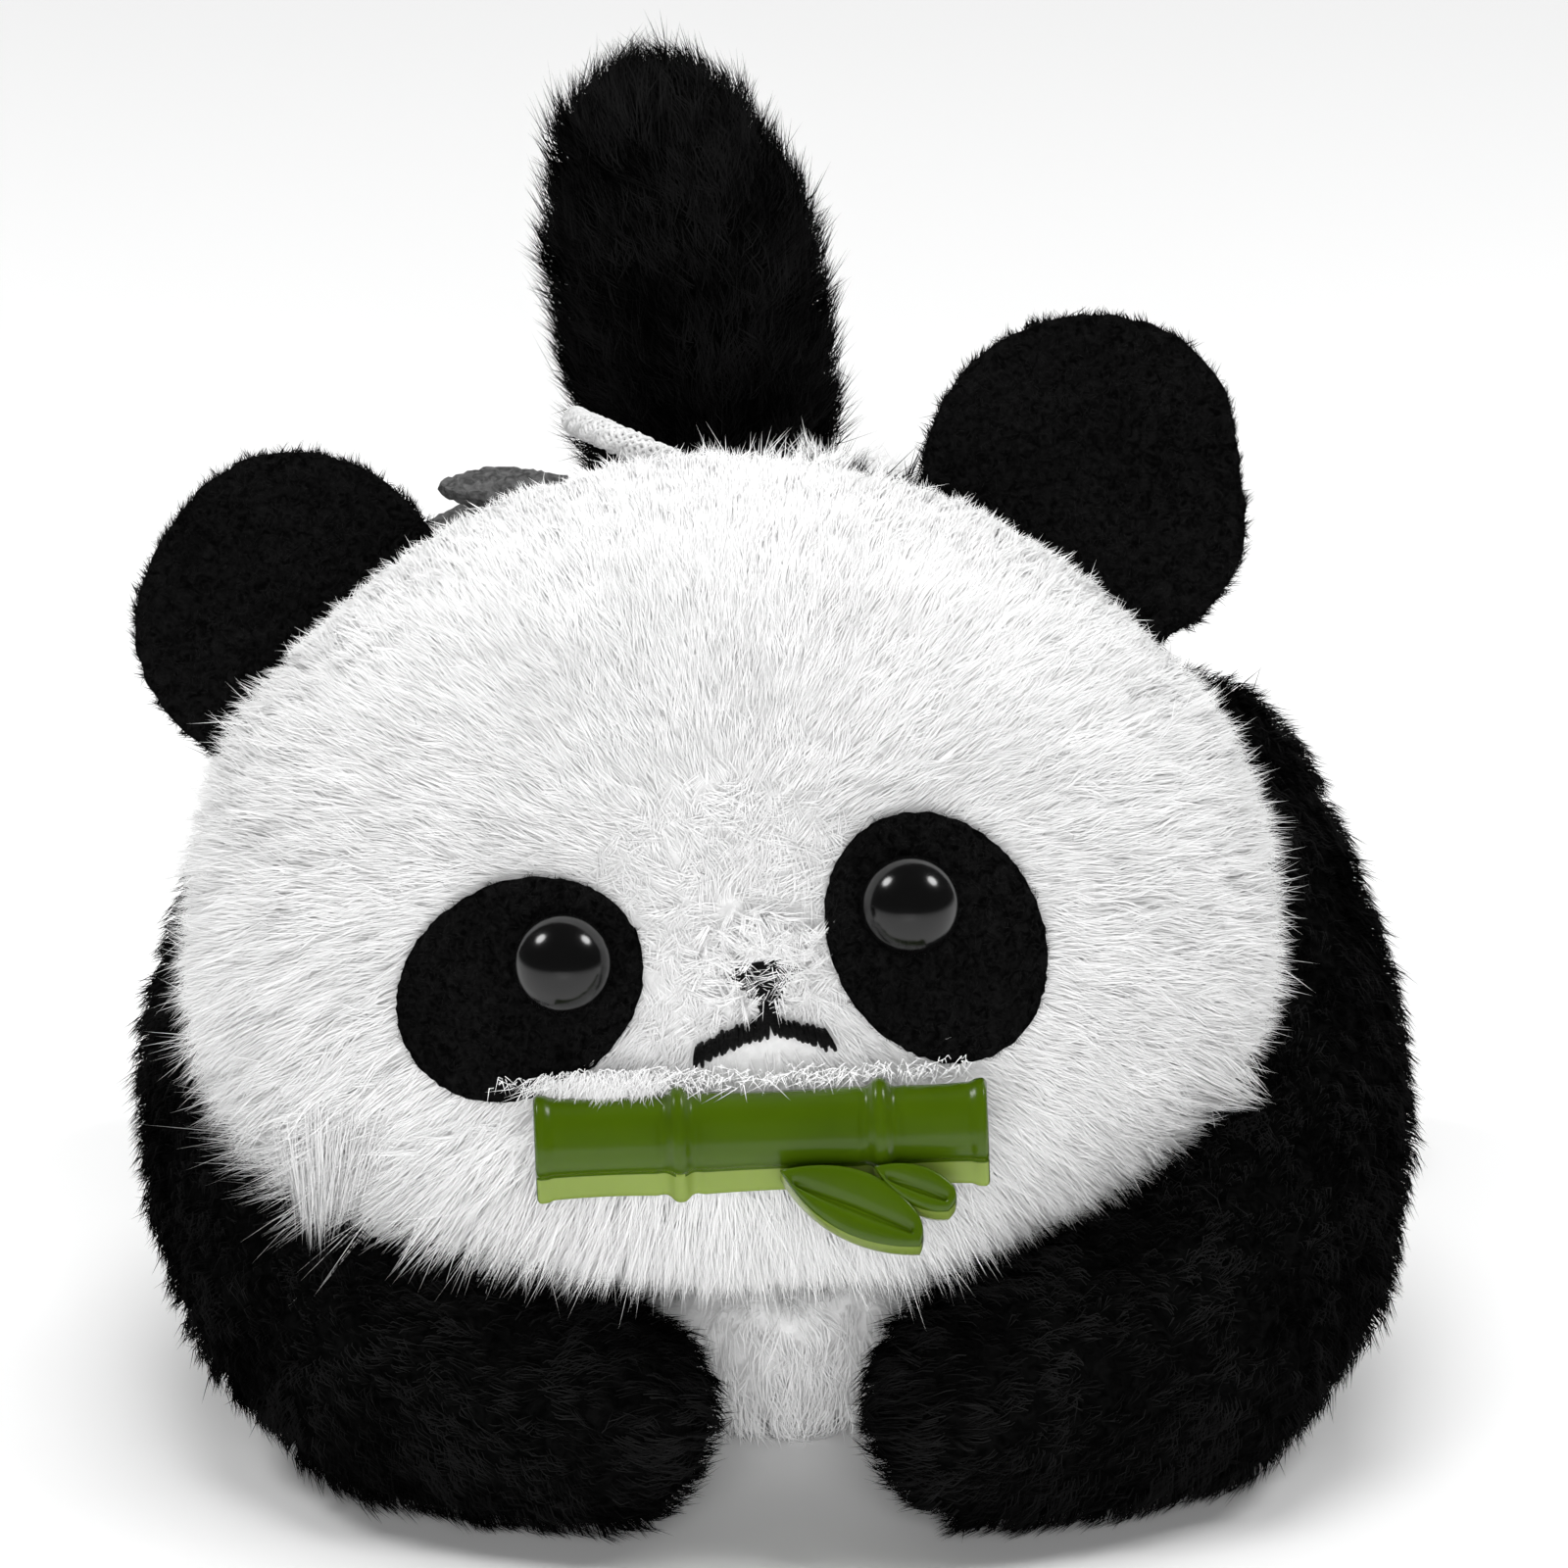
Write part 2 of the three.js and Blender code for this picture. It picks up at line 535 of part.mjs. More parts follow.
const panda = new THREE.Group();
panda.position.copy(TO_ORIGIN);
panda.add(bodyGroup(), headGroup(), hangLoop());
ARMS.forEach((arm) => panda.add(limbGroup(arm, [`arm_skin_${arm.side}`, `arm_stuffing_${arm.side}`])));
LEGS.forEach((leg) => panda.add(limbGroup(leg, [`leg_skin_${leg.side}`, `leg_stuffing_${leg.side}`])));
panda.add(limbGroup(TAIL, ['tail_skin', 'tail_stuffing']));

export default panda;
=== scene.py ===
"""A small stuffed panda pendant that lies on its belly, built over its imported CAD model.

Lengths inside the shape functions are millimetres; make_mesh and strand_mesh turn them into metres.
"left" and "right" are as seen from the front, so left is -X. The face looks towards -Y.
"""
import json
import math

import bmesh
import bpy
import numpy as np
from mathutils import Euler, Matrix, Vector
from mathutils.bvhtree import BVHTree
from mathutils.kdtree import KDTree


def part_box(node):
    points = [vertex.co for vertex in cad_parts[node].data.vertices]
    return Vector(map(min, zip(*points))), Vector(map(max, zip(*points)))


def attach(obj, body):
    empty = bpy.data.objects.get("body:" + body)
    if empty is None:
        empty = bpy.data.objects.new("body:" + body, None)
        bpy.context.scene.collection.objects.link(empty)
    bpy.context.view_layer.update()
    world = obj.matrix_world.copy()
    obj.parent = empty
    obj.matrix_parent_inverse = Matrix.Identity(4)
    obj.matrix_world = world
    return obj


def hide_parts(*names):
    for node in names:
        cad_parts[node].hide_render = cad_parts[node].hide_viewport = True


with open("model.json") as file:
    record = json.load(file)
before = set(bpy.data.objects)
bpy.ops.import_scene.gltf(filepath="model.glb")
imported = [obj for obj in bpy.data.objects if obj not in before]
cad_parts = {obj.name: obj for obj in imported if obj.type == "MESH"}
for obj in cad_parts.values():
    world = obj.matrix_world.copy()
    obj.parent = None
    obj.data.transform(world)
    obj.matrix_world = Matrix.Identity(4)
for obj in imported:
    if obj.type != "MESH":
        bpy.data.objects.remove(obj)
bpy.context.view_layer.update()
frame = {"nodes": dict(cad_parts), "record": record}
JOINTS = {joint["name"]: joint for joint in frame["record"]["behaviour"]["joints"]}
MM = 0.001


def joint_place(name):
    return np.array(JOINTS[name]["pos_m"]) / MM


# ---------- Driving dimensions, in millimetres and degrees ----------
HEAD_CENTRE = joint_place("head_nod")
HEAD_HALF_WIDTH = 37.0
HEAD_HALF_DEPTH = 25.0
HEAD_UP = 33.0
HEAD_DOWN = 23.0
HEAD_SQUARENESS = 2.8
HEAD_PITCH = math.radians(18)
FACE_ROLL = math.radians(8.4)
HEAD_SEAM_Y = 4.0
CHIN_SEAM_Z = -18.0
BRIDGE = (0.0, 1.5)  # on the face axes: the hair spreads from here

CHEST_SEAM_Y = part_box("chest_panel")[1][1] / MM
RUMP_SEAM_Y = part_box("rump_panel")[0][1] / MM

EYES = {"left": (-11.4, -0.2), "right": (12.1, 0.4)}  # on the face axes
EYE_RADIUS = 3.55
EYE_RISE = 1.4  # height of the bead's widest level above its foot
FELT = 1.1  # thickness of the felt
PATCHES = [
    {"side": "left", "x": -15.1, "z": -1.4, "long": 8.9, "short": 7.4, "turn": 30},
    {"side": "right", "x": 14.1, "z": -2.1, "long": 9.1, "short": 7.3, "turn": 117},
]

BAMBOO_LENGTH = 31.9
BAMBOO_HALF_HEIGHT = 3.7
BAMBOO_WALL = 2.2
BAMBOO_DOME = 2.4
BAMBOO_BEVEL = 1.6  # height of the slope below the domed front
BAMBOO_GAP = 0.9  # between the face and the back of the bamboo, at its top edge
BAMBOO_Z = -14.6
BAMBOO_TURN = math.radians(2.3)
BAMBOO_LIFT = math.radians(5)
BAMBOO_RINGS = (-5.8, 8.4)
LEAF_ROOT = 0.9  # depths of the moulded leaves, from the back of the stick forwards
LEAF_BACK = 3.2
LEAF_THICKNESS = 1.7
LEAF_RIM = 0.55  # how far the lower rim of a leaf shows below its front

EARS = [
    {"side": "left", "x": -31.5, "z": 23.0, "radius": 11.5, "flat_at": 100, "flat": 0.07},
    {"side": "right", "x": 25.8, "z": 32.2, "radius": 12.2, "flat_at": 40, "flat": 0.13},
]
EAR_DEPTH_Y = 4.0
EAR_PLUSH = 4.0

FELT_LEAVES = {
    "felt_leaf_front": {"root": (-11.5, 5.4, 32.9), "tip": (-21.2, 6.2, 32.3), "width": 3.6},
    "felt_leaf_rear": {"root": (-11.5, 10.6, 31.7), "tip": (-22.6, 11.2, 29.2), "width": 3.8},
}
FELT_LEAF_SLOPE = math.radians(-48)

BODY_VOXEL = 1.1  # sizes of the cells a filling is measured in when its skin is made
LIMB_VOXEL = 0.9
SKIN_GROW = 0.75  # how far the cloth lies outside its filling
TAIL_GROW = 1.9
CLOTH = 0.5  # thickness of the body's cloth
HEAD_CLOTH = 0.6
ABOVE_FLOOR = 0.9  # no pile grows from cloth that is lower than this

CORD_YARNS = 16
CORD_PITCH = 5.2  # length in which a yarn goes once round
CORD_ROUTE = [  # metres: the hanging loop, from the crown seam round and back to it
    (-0.0067, -0.0061, 0.0693), (-0.0082, -0.0058, 0.0699), (-0.0096, -0.0051, 0.0704),
    (-0.0111, -0.0038, 0.0706), (-0.0123, -0.0019, 0.0706), (-0.0133, 0.0003, 0.0703),
    (-0.0138, 0.0027, 0.0698), (-0.0140, 0.0050, 0.0692), (-0.0136, 0.0071, 0.0683),
    (-0.0123, 0.0086, 0.0672), (-0.0105, 0.0088, 0.0663), (-0.0089, 0.0077, 0.0659),
    (-0.0082, 0.0059, 0.0661), (-0.0081, 0.0038, 0.0667), (-0.0082, 0.0017, 0.0675),
    (-0.0082, -0.0003, 0.0681), (-0.0080, -0.0021, 0.0686), (-0.0068, -0.0032, 0.0686),
]

CAMERA_TARGET = (0.001, -0.0198, 0.0497)
CAMERA_DISTANCE = 1.5
CAMERA_ELEVATION = math.radians(18)
VIEW_WIDTH = 0.1119  # metres across the picture at the target
SENSOR_WIDTH = 36
FLOOR_REACH = 3000.0

FUR_SHARE = 1.0  # share of the strands that is made
HEAD_CLUMPS = 42000  # clumps that are tried, before the bare places are left out
BODY_CLUMPS = 12000
EAR_CLUMPS = 2600


# ---------- Camera ----------
def make_camera():
    camera = bpy.data.objects.new("camera", bpy.data.cameras.new("camera"))
    bpy.context.scene.collection.objects.link(camera)
    target = Vector(CAMERA_TARGET)
    back = Vector((0, -math.cos(CAMERA_ELEVATION), math.sin(CAMERA_ELEVATION)))
    camera.location = target + back * CAMERA_DISTANCE
    camera.rotation_euler = Euler((math.pi / 2 - CAMERA_ELEVATION, 0, 0))
    camera.data.sensor_width = SENSOR_WIDTH
    camera.data.lens = SENSOR_WIDTH * CAMERA_DISTANCE / VIEW_WIDTH
    camera.data.clip_start = 0.05
    camera.data.clip_end = 20
    bpy.context.scene.camera = camera


# ---------- Small vector helpers; every array holds one vector in each row ----------
def unit(vectors):
    length = np.linalg.norm(vectors, axis=-1, keepdims=True)
    return vectors / np.maximum(length, 1e-9)


def along_surface(vectors, normals):
    """The part of each vector that lies in the surface, as a unit vector."""
    return unit(vectors - normals * (vectors * normals).sum(1, keepdims=True))


def waves(points, scale, seed):
    """A smooth random value from about -1 to 1 at each point, changing over about that scale."""
    rng = np.random.default_rng(seed)
    total = np.zeros(len(points))
    for _ in range(6):
        direction = unit(rng.normal(size=3)) * rng.uniform(0.7, 1.4) / scale
        total += np.sin(points @ direction * 2 * math.pi + rng.uniform(0, 2 * math.pi))
    return total / 3


# ---------- The head's shape, in its own frame ----------
HEAD_TURN = np.array(Euler((-HEAD_PITCH, 0, 0)).to_matrix())


def head_place(points):
    """From the head's own frame to the toy's."""
    return np.asarray(points) @ HEAD_TURN.T + HEAD_CENTRE


def head_direction(vectors):
    """Turns vectors from the head's own frame to the toy's."""
    return np.asarray(vectors) @ HEAD_TURN.T


def into_head(points):
    """From the toy's frame to the head's own."""
    return (np.asarray(points) - HEAD_CENTRE) @ HEAD_TURN


def head_measure(points):
    """1 on the head's surface, less inside it."""
    x, y, z = points.T
    height = np.where(z > 0, HEAD_UP, HEAD_DOWN)
    m = HEAD_SQUARENESS
    profile = np.abs(z / height) ** m + np.abs(y / HEAD_HALF_DEPTH) ** m
    return (x / HEAD_HALF_WIDTH) ** 2 + profile ** (2 / m)


def face_axes(points):
    """The places of head-frame points along the rolled face axes."""
    x, z = points[:, 0], points[:, 2]
    across = x * math.cos(FACE_ROLL) + z * math.sin(FACE_ROLL)
    upward = -x * math.sin(FACE_ROLL) + z * math.cos(FACE_ROLL)
    return np.stack([across, upward], axis=1)


def face_points(places, lift=0.0):
    """Head-frame points on the face at places along the rolled face axes, lifted off the surface."""
    places = np.atleast_2d(places).astype(float)
    x = places[:, 0] * math.cos(FACE_ROLL) - places[:, 1] * math.sin(FACE_ROLL)
    z = places[:, 0] * math.sin(FACE_ROLL) + places[:, 1] * math.cos(FACE_ROLL)
    m = HEAD_SQUARENESS
    height = np.where(z > 0, HEAD_UP, HEAD_DOWN)
    rim = (1 - (x / HEAD_HALF_WIDTH) ** 2) ** (m / 2)
    y = -HEAD_HALF_DEPTH * np.maximum(rim - np.abs(z / height) ** m, 0) ** (1 / m)
    points = np.stack([x, y, z], axis=1)
    return points + head_normals(points) * lift


def head_normals(points):
    """Outward normals of the head's shape at points of its own frame."""
    step = 0.01
    slopes = []
    for axis in np.eye(3):
        slopes.append(head_measure(points + axis * step) - head_measure(points - axis * step))
    return unit(np.stack(slopes, axis=1))


# ---------- Mesh makers ----------
def smooth_object(name, mesh):
    """A new object of the scene that shows the mesh, shaded smooth."""
    mesh.polygons.foreach_set("use_smooth", np.full(len(mesh.polygons), True))
    mesh.update(calc_edges=True)
    piece = bpy.data.objects.new(name, mesh)
    bpy.context.scene.collection.objects.link(piece)
    return piece


def make_mesh(name, points, faces, materials):
    mesh = bpy.data.meshes.new(name)
    mesh.from_pydata((np.asarray(points) * MM).tolist(), [], [tuple(face) for face in faces])
    for material in materials:
        mesh.materials.append(material)
    return smooth_object(name, mesh)


def ring_faces(rows, columns):
    """Quads between rows of points, each row a ring."""
    faces = []
    for row in range(rows - 1):
        for column in range(columns):
            a = row * columns + column
            b = row * columns + (column + 1) % columns
            faces.append((a, b, b + columns, a + columns))
    return faces


def capped_rings(rings, start, end):
    """Points and faces of a closed body of rings with one point at each end."""
    rows, columns = rings.shape[:2]
    points = np.concatenate([rings.reshape(-1, 3), [start], [end]])
    faces = ring_faces(rows, columns)
    first, last = rows * columns, rows * columns + 1
    for column in range(columns):
        following = (column + 1) % columns
        faces.append((first, following, column))
        faces.append((last, (rows - 1) * columns + column, (rows - 1) * columns + following))
    return points, faces


def merged(bodies):
    """Points and faces of several bodies as one."""
    points, faces, start = [], [], 0
    for body_points, body_faces in bodies:
        points.append(body_points)
        faces += [tuple(corner + start for corner in face) for face in body_faces]
        start += len(body_points)
    return np.concatenate(points), faces


def stand_for(piece, node, body):
    """Hides the CAD node that a piece replaces and makes the piece move with that body."""
    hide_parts(node)
    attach(piece, body)


def surface_of(piece):
    """The points, normals and triangles of a piece, in millimetres."""
    mesh = piece.data
    mesh.calc_loop_triangles()
    points = np.empty(len(mesh.vertices) * 3)
    normals = np.empty(len(mesh.vertices) * 3)
    triangles = np.empty(len(mesh.loop_triangles) * 3, dtype=np.int32)
    mesh.vertices.foreach_get("co", points)
    mesh.vertex_normals.foreach_get("vector", normals)
    mesh.loop_triangles.foreach_get("vertices", triangles)
    return points.reshape(-1, 3) / MM, normals.reshape(-1, 3), triangles.reshape(-1, 3)


def smoothed_copy(node, name, voxel, grow):
    """A smooth closed skin around a CAD filling, grown outwards by that many millimetres."""
    piece = frame["nodes"][node].copy()
    piece.data = piece.data.copy()
    piece.name = name
    piece.parent = None
    bpy.context.scene.collection.objects.link(piece)
    for key in list(piece.keys()):
        del piece[key]
    remesh = piece.modifiers.new("remesh", "REMESH")
    remesh.mode = "VOXEL"
    remesh.voxel_size = voxel * MM
    smooth = piece.modifiers.new("smooth", "SMOOTH")
    smooth.iterations = 8
    smooth.factor = 0.5
    swell = piece.modifiers.new("swell", "DISPLACE")
    swell.mid_level = 0
    swell.strength = grow * MM
    depsgraph = bpy.context.evaluated_depsgraph_get()
    mesh = bpy.data.meshes.new_from_object(piece.evaluated_get(depsgraph))
    bpy.data.objects.remove(piece)
    mesh.materials.clear()
    return smooth_object(name, mesh)


# ---------- Materials ----------
def material_of(name, colour, roughness, sheen=0.0, specular=0.5):
    material = bpy.data.materials.new(name)
    material.use_nodes = True
    shader = material.node_tree.nodes["Principled BSDF"]
    shader.inputs["Base Color"].default_value = (*colour, 1)
    shader.inputs["Roughness"].default_value = roughness
    shader.inputs["Sheen Weight"].default_value = sheen
    shader.inputs["Specular IOR Level"].default_value = specular
    return material


def grey(value):
    return (value, value, value)


def add_node(material, kind, values):
    """A new shader node with those values on its inputs."""
    node = material.node_tree.nodes.new(kind)
    for name, value in values.items():
        node.inputs[name].default_value = value
    return node


def add_ramp(material, low, high, start=0.0, end=1.0):
    """A ramp from one shade to another."""
    ramp = add_node(material, "ShaderNodeValToRGB", {})
    ends = ramp.color_ramp.elements
    ends[0].position, ends[1].position = start, end
    ends[0].color, ends[1].color = (*low, 1), (*high, 1)
    return ramp


def wire(material, links):
    """Joins shader nodes; each link is a node, its output, the next node and its input."""
    for source, output, target, entry in links:
        material.node_tree.links.new(source.outputs[output], target.inputs[entry])


def fabric_material(name, low, high, scale, bump, roughness=0.9, sheen=0.3, specular=0.3):
    """Cloth or felt: two shades mixed by matted fibres, with the same fibres as bump."""
    material = material_of(name, low, roughness, sheen, specular)
    shader = material.node_tree.nodes["Principled BSDF"]
    place = add_node(material, "ShaderNodeTexCoord", {})
    fibres = add_node(material, "ShaderNodeTexNoise", {"Scale": scale, "Detail": 6, "Distortion": 1.2})
    tufts = add_node(material, "ShaderNodeTexVoronoi", {"Scale": scale * 1.7})
    ramp = add_ramp(material, low, high, 0.35, 0.7)
    mixed = add_node(material, "ShaderNodeMath", {})
    mixed.operation = "MULTIPLY_ADD"
    mixed.inputs[1].default_value = 0.4
    bumps = add_node(material, "ShaderNodeBump", {"Strength": bump, "Distance": 0.0003})
    wire(material, [
        (place, "Object", fibres, "Vector"),
        (place, "Object", tufts, "Vector"),
        (fibres, "Fac", ramp, "Fac"),
        (ramp, "Color", shader, "Base Color"),
        (tufts, "Distance", mixed, 0),
        (fibres, "Fac", mixed, 2),
        (mixed, "Value", bumps, "Height"),
        (bumps, "Normal", shader, "Normal"),
    ])
    return material


def bamboo_material(name, deep, light):
    """Glossy green moulding, a little deeper and lighter in slow clouds, with a faintly wavy face."""
    material = material_of(name, deep, 0.25, specular=0.28)
    shader = material.node_tree.nodes["Principled BSDF"]
    shader.inputs["Subsurface Weight"].default_value = 0.25
    shader.inputs["Subsurface Radius"].default_value = (0.0012, 0.002, 0.0004)
    place = add_node(material, "ShaderNodeTexCoord", {})
    clouds = add_node(material, "ShaderNodeTexNoise", {"Scale": 160, "Detail": 3})
    ramp = add_ramp(material, deep, light)
    waviness = add_node(material, "ShaderNodeBump", {"Strength": 0.12, "Distance": 0.0002})
    wire(material, [
        (place, "Object", clouds, "Vector"),
        (clouds, "Fac", ramp, "Fac"),
        (ramp, "Color", shader, "Base Color"),
        (clouds, "Fac", waviness, "Height"),
        (waviness, "Normal", shader, "Normal"),
    ])
    return material


def bead_material():
    """Polished black bead with fine handling marks."""
    material = material_of("black_plastic", grey(0.002), 0.16, specular=0.45)
    shader = material.node_tree.nodes["Principled BSDF"]
    marks = add_node(material, "ShaderNodeTexNoise", {"Scale": 900})
    spread = add_node(material, "ShaderNodeMapRange", {"To Min": 0.14, "To Max": 0.20})
    wire(material, [(marks, "Fac", spread, "Value"), (spread, "Result", shader, "Roughness")])
    return material


WHITE_CLOTH = fabric_material("white_cloth", grey(0.74), grey(0.86), 900, 0.3)
BLACK_CLOTH = fabric_material("black_cloth", grey(0.001), grey(0.004), 900, 0.6, 0.9, 0.0, 0.0)
BLACK_FELT = fabric_material("black_felt", grey(0.0012), grey(0.0065), 1500, 0.9, 0.9, 0.0, 0.0)
GREY_FELT = fabric_material("grey_felt", grey(0.05), grey(0.14), 1500, 0.9, 0.9, 0.0, 0.0)
FILLING = fabric_material("filling", grey(0.62), grey(0.80), 700, 0.9)
THREAD = fabric_material("black_thread", grey(0.002), grey(0.006), 2500, 0.5, 0.6, 0.0, 0.1)
CORD = fabric_material("white_cord", grey(0.66), grey(0.82), 2500, 0.5)
WASHER = fabric_material("washer_plastic", grey(0.012), grey(0.02), 800, 0.2, 0.45, 0.0)
BAMBOO = bamboo_material("green_plastic", (0.032, 0.063, 0.0006), (0.054, 0.100, 0.0012))
# A lighter green for the stick's lower bevel and the leaves' low rims: a painted reflection of the white
# floor
BAMBOO_PAINTED_REFLECTION = bamboo_material("green_plastic_painted_reflection", (0.15, 0.21, 0.035), (0.22, 0.29, 0.06))
BEAD = bead_material()
WHITE_STRANDS = [
    material_of("white_strand_light", grey(0.93), 0.6, specular=0.1),
    material_of("white_strand_middle", grey(0.89), 0.6, specular=0.1),
    material_of("white_strand_dark", grey(0.82), 0.65, specular=0.1),
]
BLACK_STRANDS = [
    material_of("black_strand_light", grey(0.012), 0.6, specular=0.0),
    material_of("black_strand_middle", grey(0.006), 0.6, specular=0.0),
    material_of("black_strand_dark", grey(0.002), 0.6, specular=0.0),
]


# ---------- Fur ----------
STRANDS_IN_PIECE = 18000


def strand_mesh(name, roots, bends, tips, radii, facing, shades, materials):
    """One piece of closed, tapered, three-sided strands with one bend each, shaded as facing that way."""
    count = len(roots)
    along = unit(bends - roots)
    side = unit(np.cross(along, [0.31, 0.57, 0.76]))
    other = np.cross(along, side)
    ring = []
    for corner in range(3):
        angle = 2 * math.pi * corner / 3
        ring.append(side * math.cos(angle) + other * math.sin(angle))
    ring = np.stack(ring, axis=1) * radii[:, None, None]
    points = np.concatenate([roots[:, None] + ring, bends[:, None] + ring * 0.8, tips[:, None]], axis=1)
    corners = np.array([0, 1, 4, 3, 1, 2, 5, 4, 2, 0, 3, 5, 3, 4, 6, 4, 5, 6, 5, 3, 6, 2, 1, 0])
    starts = np.array([0, 4, 8, 12, 15, 18, 21])
    order = np.arange(count)
    mesh = bpy.data.meshes.new(name)
    mesh.vertices.add(count * 7)
    mesh.loops.add(count * 24)
    mesh.polygons.add(count * 7)
    mesh.vertices.foreach_set("co", (points * MM).astype(np.float32).ravel())
    mesh.loops.foreach_set("vertex_index", (corners + order[:, None] * 7).astype(np.int32).ravel())
    mesh.polygons.foreach_set("loop_start", (starts + order[:, None] * 24).astype(np.int32).ravel())
    mesh.polygons.foreach_set("material_index", np.repeat(shades, 7).astype(np.int32))
    for material in materials:
        mesh.materials.append(material)
    shading = mesh.attributes.new("custom_normal", "FLOAT_VECTOR", "POINT")
    shading.data.foreach_set("vector", np.repeat(facing, 7, axis=0).astype(np.float32).ravel())
    return smooth_object(name, mesh)


def scatter(surface, count, rng):
    """Random places spread evenly over a surface, with their normals."""
    points, normals, triangles = surface
    a, b, c = points[triangles[:, 0]], points[triangles[:, 1]], points[triangles[:, 2]]
    areas = np.linalg.norm(np.cross(b - a, c - a), axis=1)
    chosen = rng.choice(len(triangles), size=count, p=areas / areas.sum())
    u, v = rng.random(count), rng.random(count)
    over = u + v > 1
    u[over], v[over] = 1 - u[over], 1 - v[over]
    share = np.stack([1 - u - v, u, v], axis=1)[:, :, None]
    places = (points[triangles[chosen]] * share).sum(1)
    return places, unit((normals[triangles[chosen]] * share).sum(1))


def add_strands(name, body, roots, bends, tips, radii, facing, shades, materials, slot):
    """The strands as pieces of the toy that ride on that body."""
    total = len(roots)
    parts = max(1, math.ceil(total / STRANDS_IN_PIECE))
    for part in range(parts):
        take = slice(part * total // parts, (part + 1) * total // parts)
        part_name = f"{name}_{part + 1}" if parts > 1 else name
        piece = strand_mesh(part_name, roots[take], bends[take], tips[take], radii[take], facing[take],
                            shades[take], materials)
        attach(piece, body)


def grow_fur(name, body, places, normals, comb, materials, slot, seed, length, lean, strands, tousle=25,
             clump=0.7, gather=0.6, radius=0.05, stray=0.012, blocked=None):
    """Clumps of strands at the places, leaning along comb by lean degrees from the surface's normal.

    length may be one number or one for each place. Each clump holds that many strands, rooted within the
    clump radius and gathered towards its tip. blocked says which points no strand may pass through.
    """
    rng = np.random.default_rng(seed)
    count = len(places)
    lengths = np.broadcast_to(np.asarray(length, float), (count,)) * rng.normal(1, 0.14, count)
    t = along_surface(comb, normals)
    s = np.cross(normals, t)
    turn = np.radians(rng.normal(0, tousle, count))[:, None]
    t, s = t * np.cos(turn) + s * np.sin(turn), s * np.cos(turn) - t * np.sin(turn)
    leans = np.radians(np.broadcast_to(np.asarray(lean, float), (count,)) + rng.normal(0, 9, count))
    low = normals * np.cos(leans * 0.6)[:, None] + t * np.sin(leans * 0.6)[:, None]
    high = normals * np.cos(leans * 1.35)[:, None] + t * np.sin(leans * 1.35)[:, None]
    clump_shade = waves(places, 9, seed + 7) + rng.normal(0, 0.5, count)

    index = np.repeat(np.arange(count), strands)
    total = len(index)
    angle = rng.uniform(0, 2 * math.pi, total)
    reach = clump * np.sqrt(rng.random(total))
    offset = t[index] * (reach * np.cos(angle))[:, None] + s[index] * (reach * np.sin(angle))[:, None]
    size = (lengths[index] * rng.normal(1, 0.10, total))[:, None]
    wander = rng.normal(0, 0.10, (total, 3))
    is_stray = rng.random(total) < stray
    wander[is_stray] *= 4.0
    size[is_stray] *= 1.25
    roots = places[index] + offset - normals[index] * 0.25
    bends = roots + size * 0.45 * unit(low[index] + wander * 0.5)
    tips = bends + size * 0.55 * unit(high[index] + wander) - offset * (1 - gather)
    for ends, lowest in ((tips, 0.15), (bends, 0.2), (roots, 0.2)):  # no strand goes through the floor
        ends[:, 2] = np.maximum(ends[:, 2], lowest)
    level = clump_shade[index] + rng.normal(0, 0.55, total)
    shades = np.digitize(-level, [-0.35, 0.75])
    radii = radius * rng.uniform(0.75, 1.25, total)
    facing = unit(normals[index] - 0.25 * t[index] + rng.normal(0, 0.16, (total, 3)))
    if blocked is not None:
        passes = ~(blocked(bends) | blocked(tips) | blocked((bends + tips) / 2))
        passes &= ~blocked((bends + roots) / 2)
        roots, bends, tips, radii = roots[passes], bends[passes], tips[passes], radii[passes]
        facing, shades = facing[passes], shades[passes]
    add_strands(name, body, roots, bends, tips, radii, facing, shades, materials, slot)


def tree_of(piece):
    """A search tree of a piece's surface, in millimetres."""
    points, _, triangles = surface_of(piece)
    return BVHTree.FromPolygons(points.tolist(), triangles.tolist())


def clear_of(places, normals, trees, gap):
    """Which places have that much room above them before they meet one of the other pieces."""
    clear = np.ones(len(places), bool)
    for i, (place, normal) in enumerate(zip(places, normals)):
        start = Vector(place + normal * 0.05)
        for tree in trees:
            nearest, face_normal, _, distance = tree.find_nearest(start, 60)
            if nearest is None:
                continue
            inside = (start - nearest).dot(face_normal) < 0
            if inside or distance < gap:
                clear[i] = False
                break
    return clear


# ---------- Head: three plush panels over the filling ----------
def head_skin_points(directions):
    """The panels' surface in the head's frame: sunk under the pile in front, fuller at the rim."""
    points = directions / np.sqrt(head_measure(directions))[:, None]
    rim = np.exp(-(((points[:, 1] + 2) / 9) ** 2))
    grow = -1.2 + 1.5 * rim + 0.25 * waves(points, 16, 3)
    return points + head_normals(points) * grow[:, None]


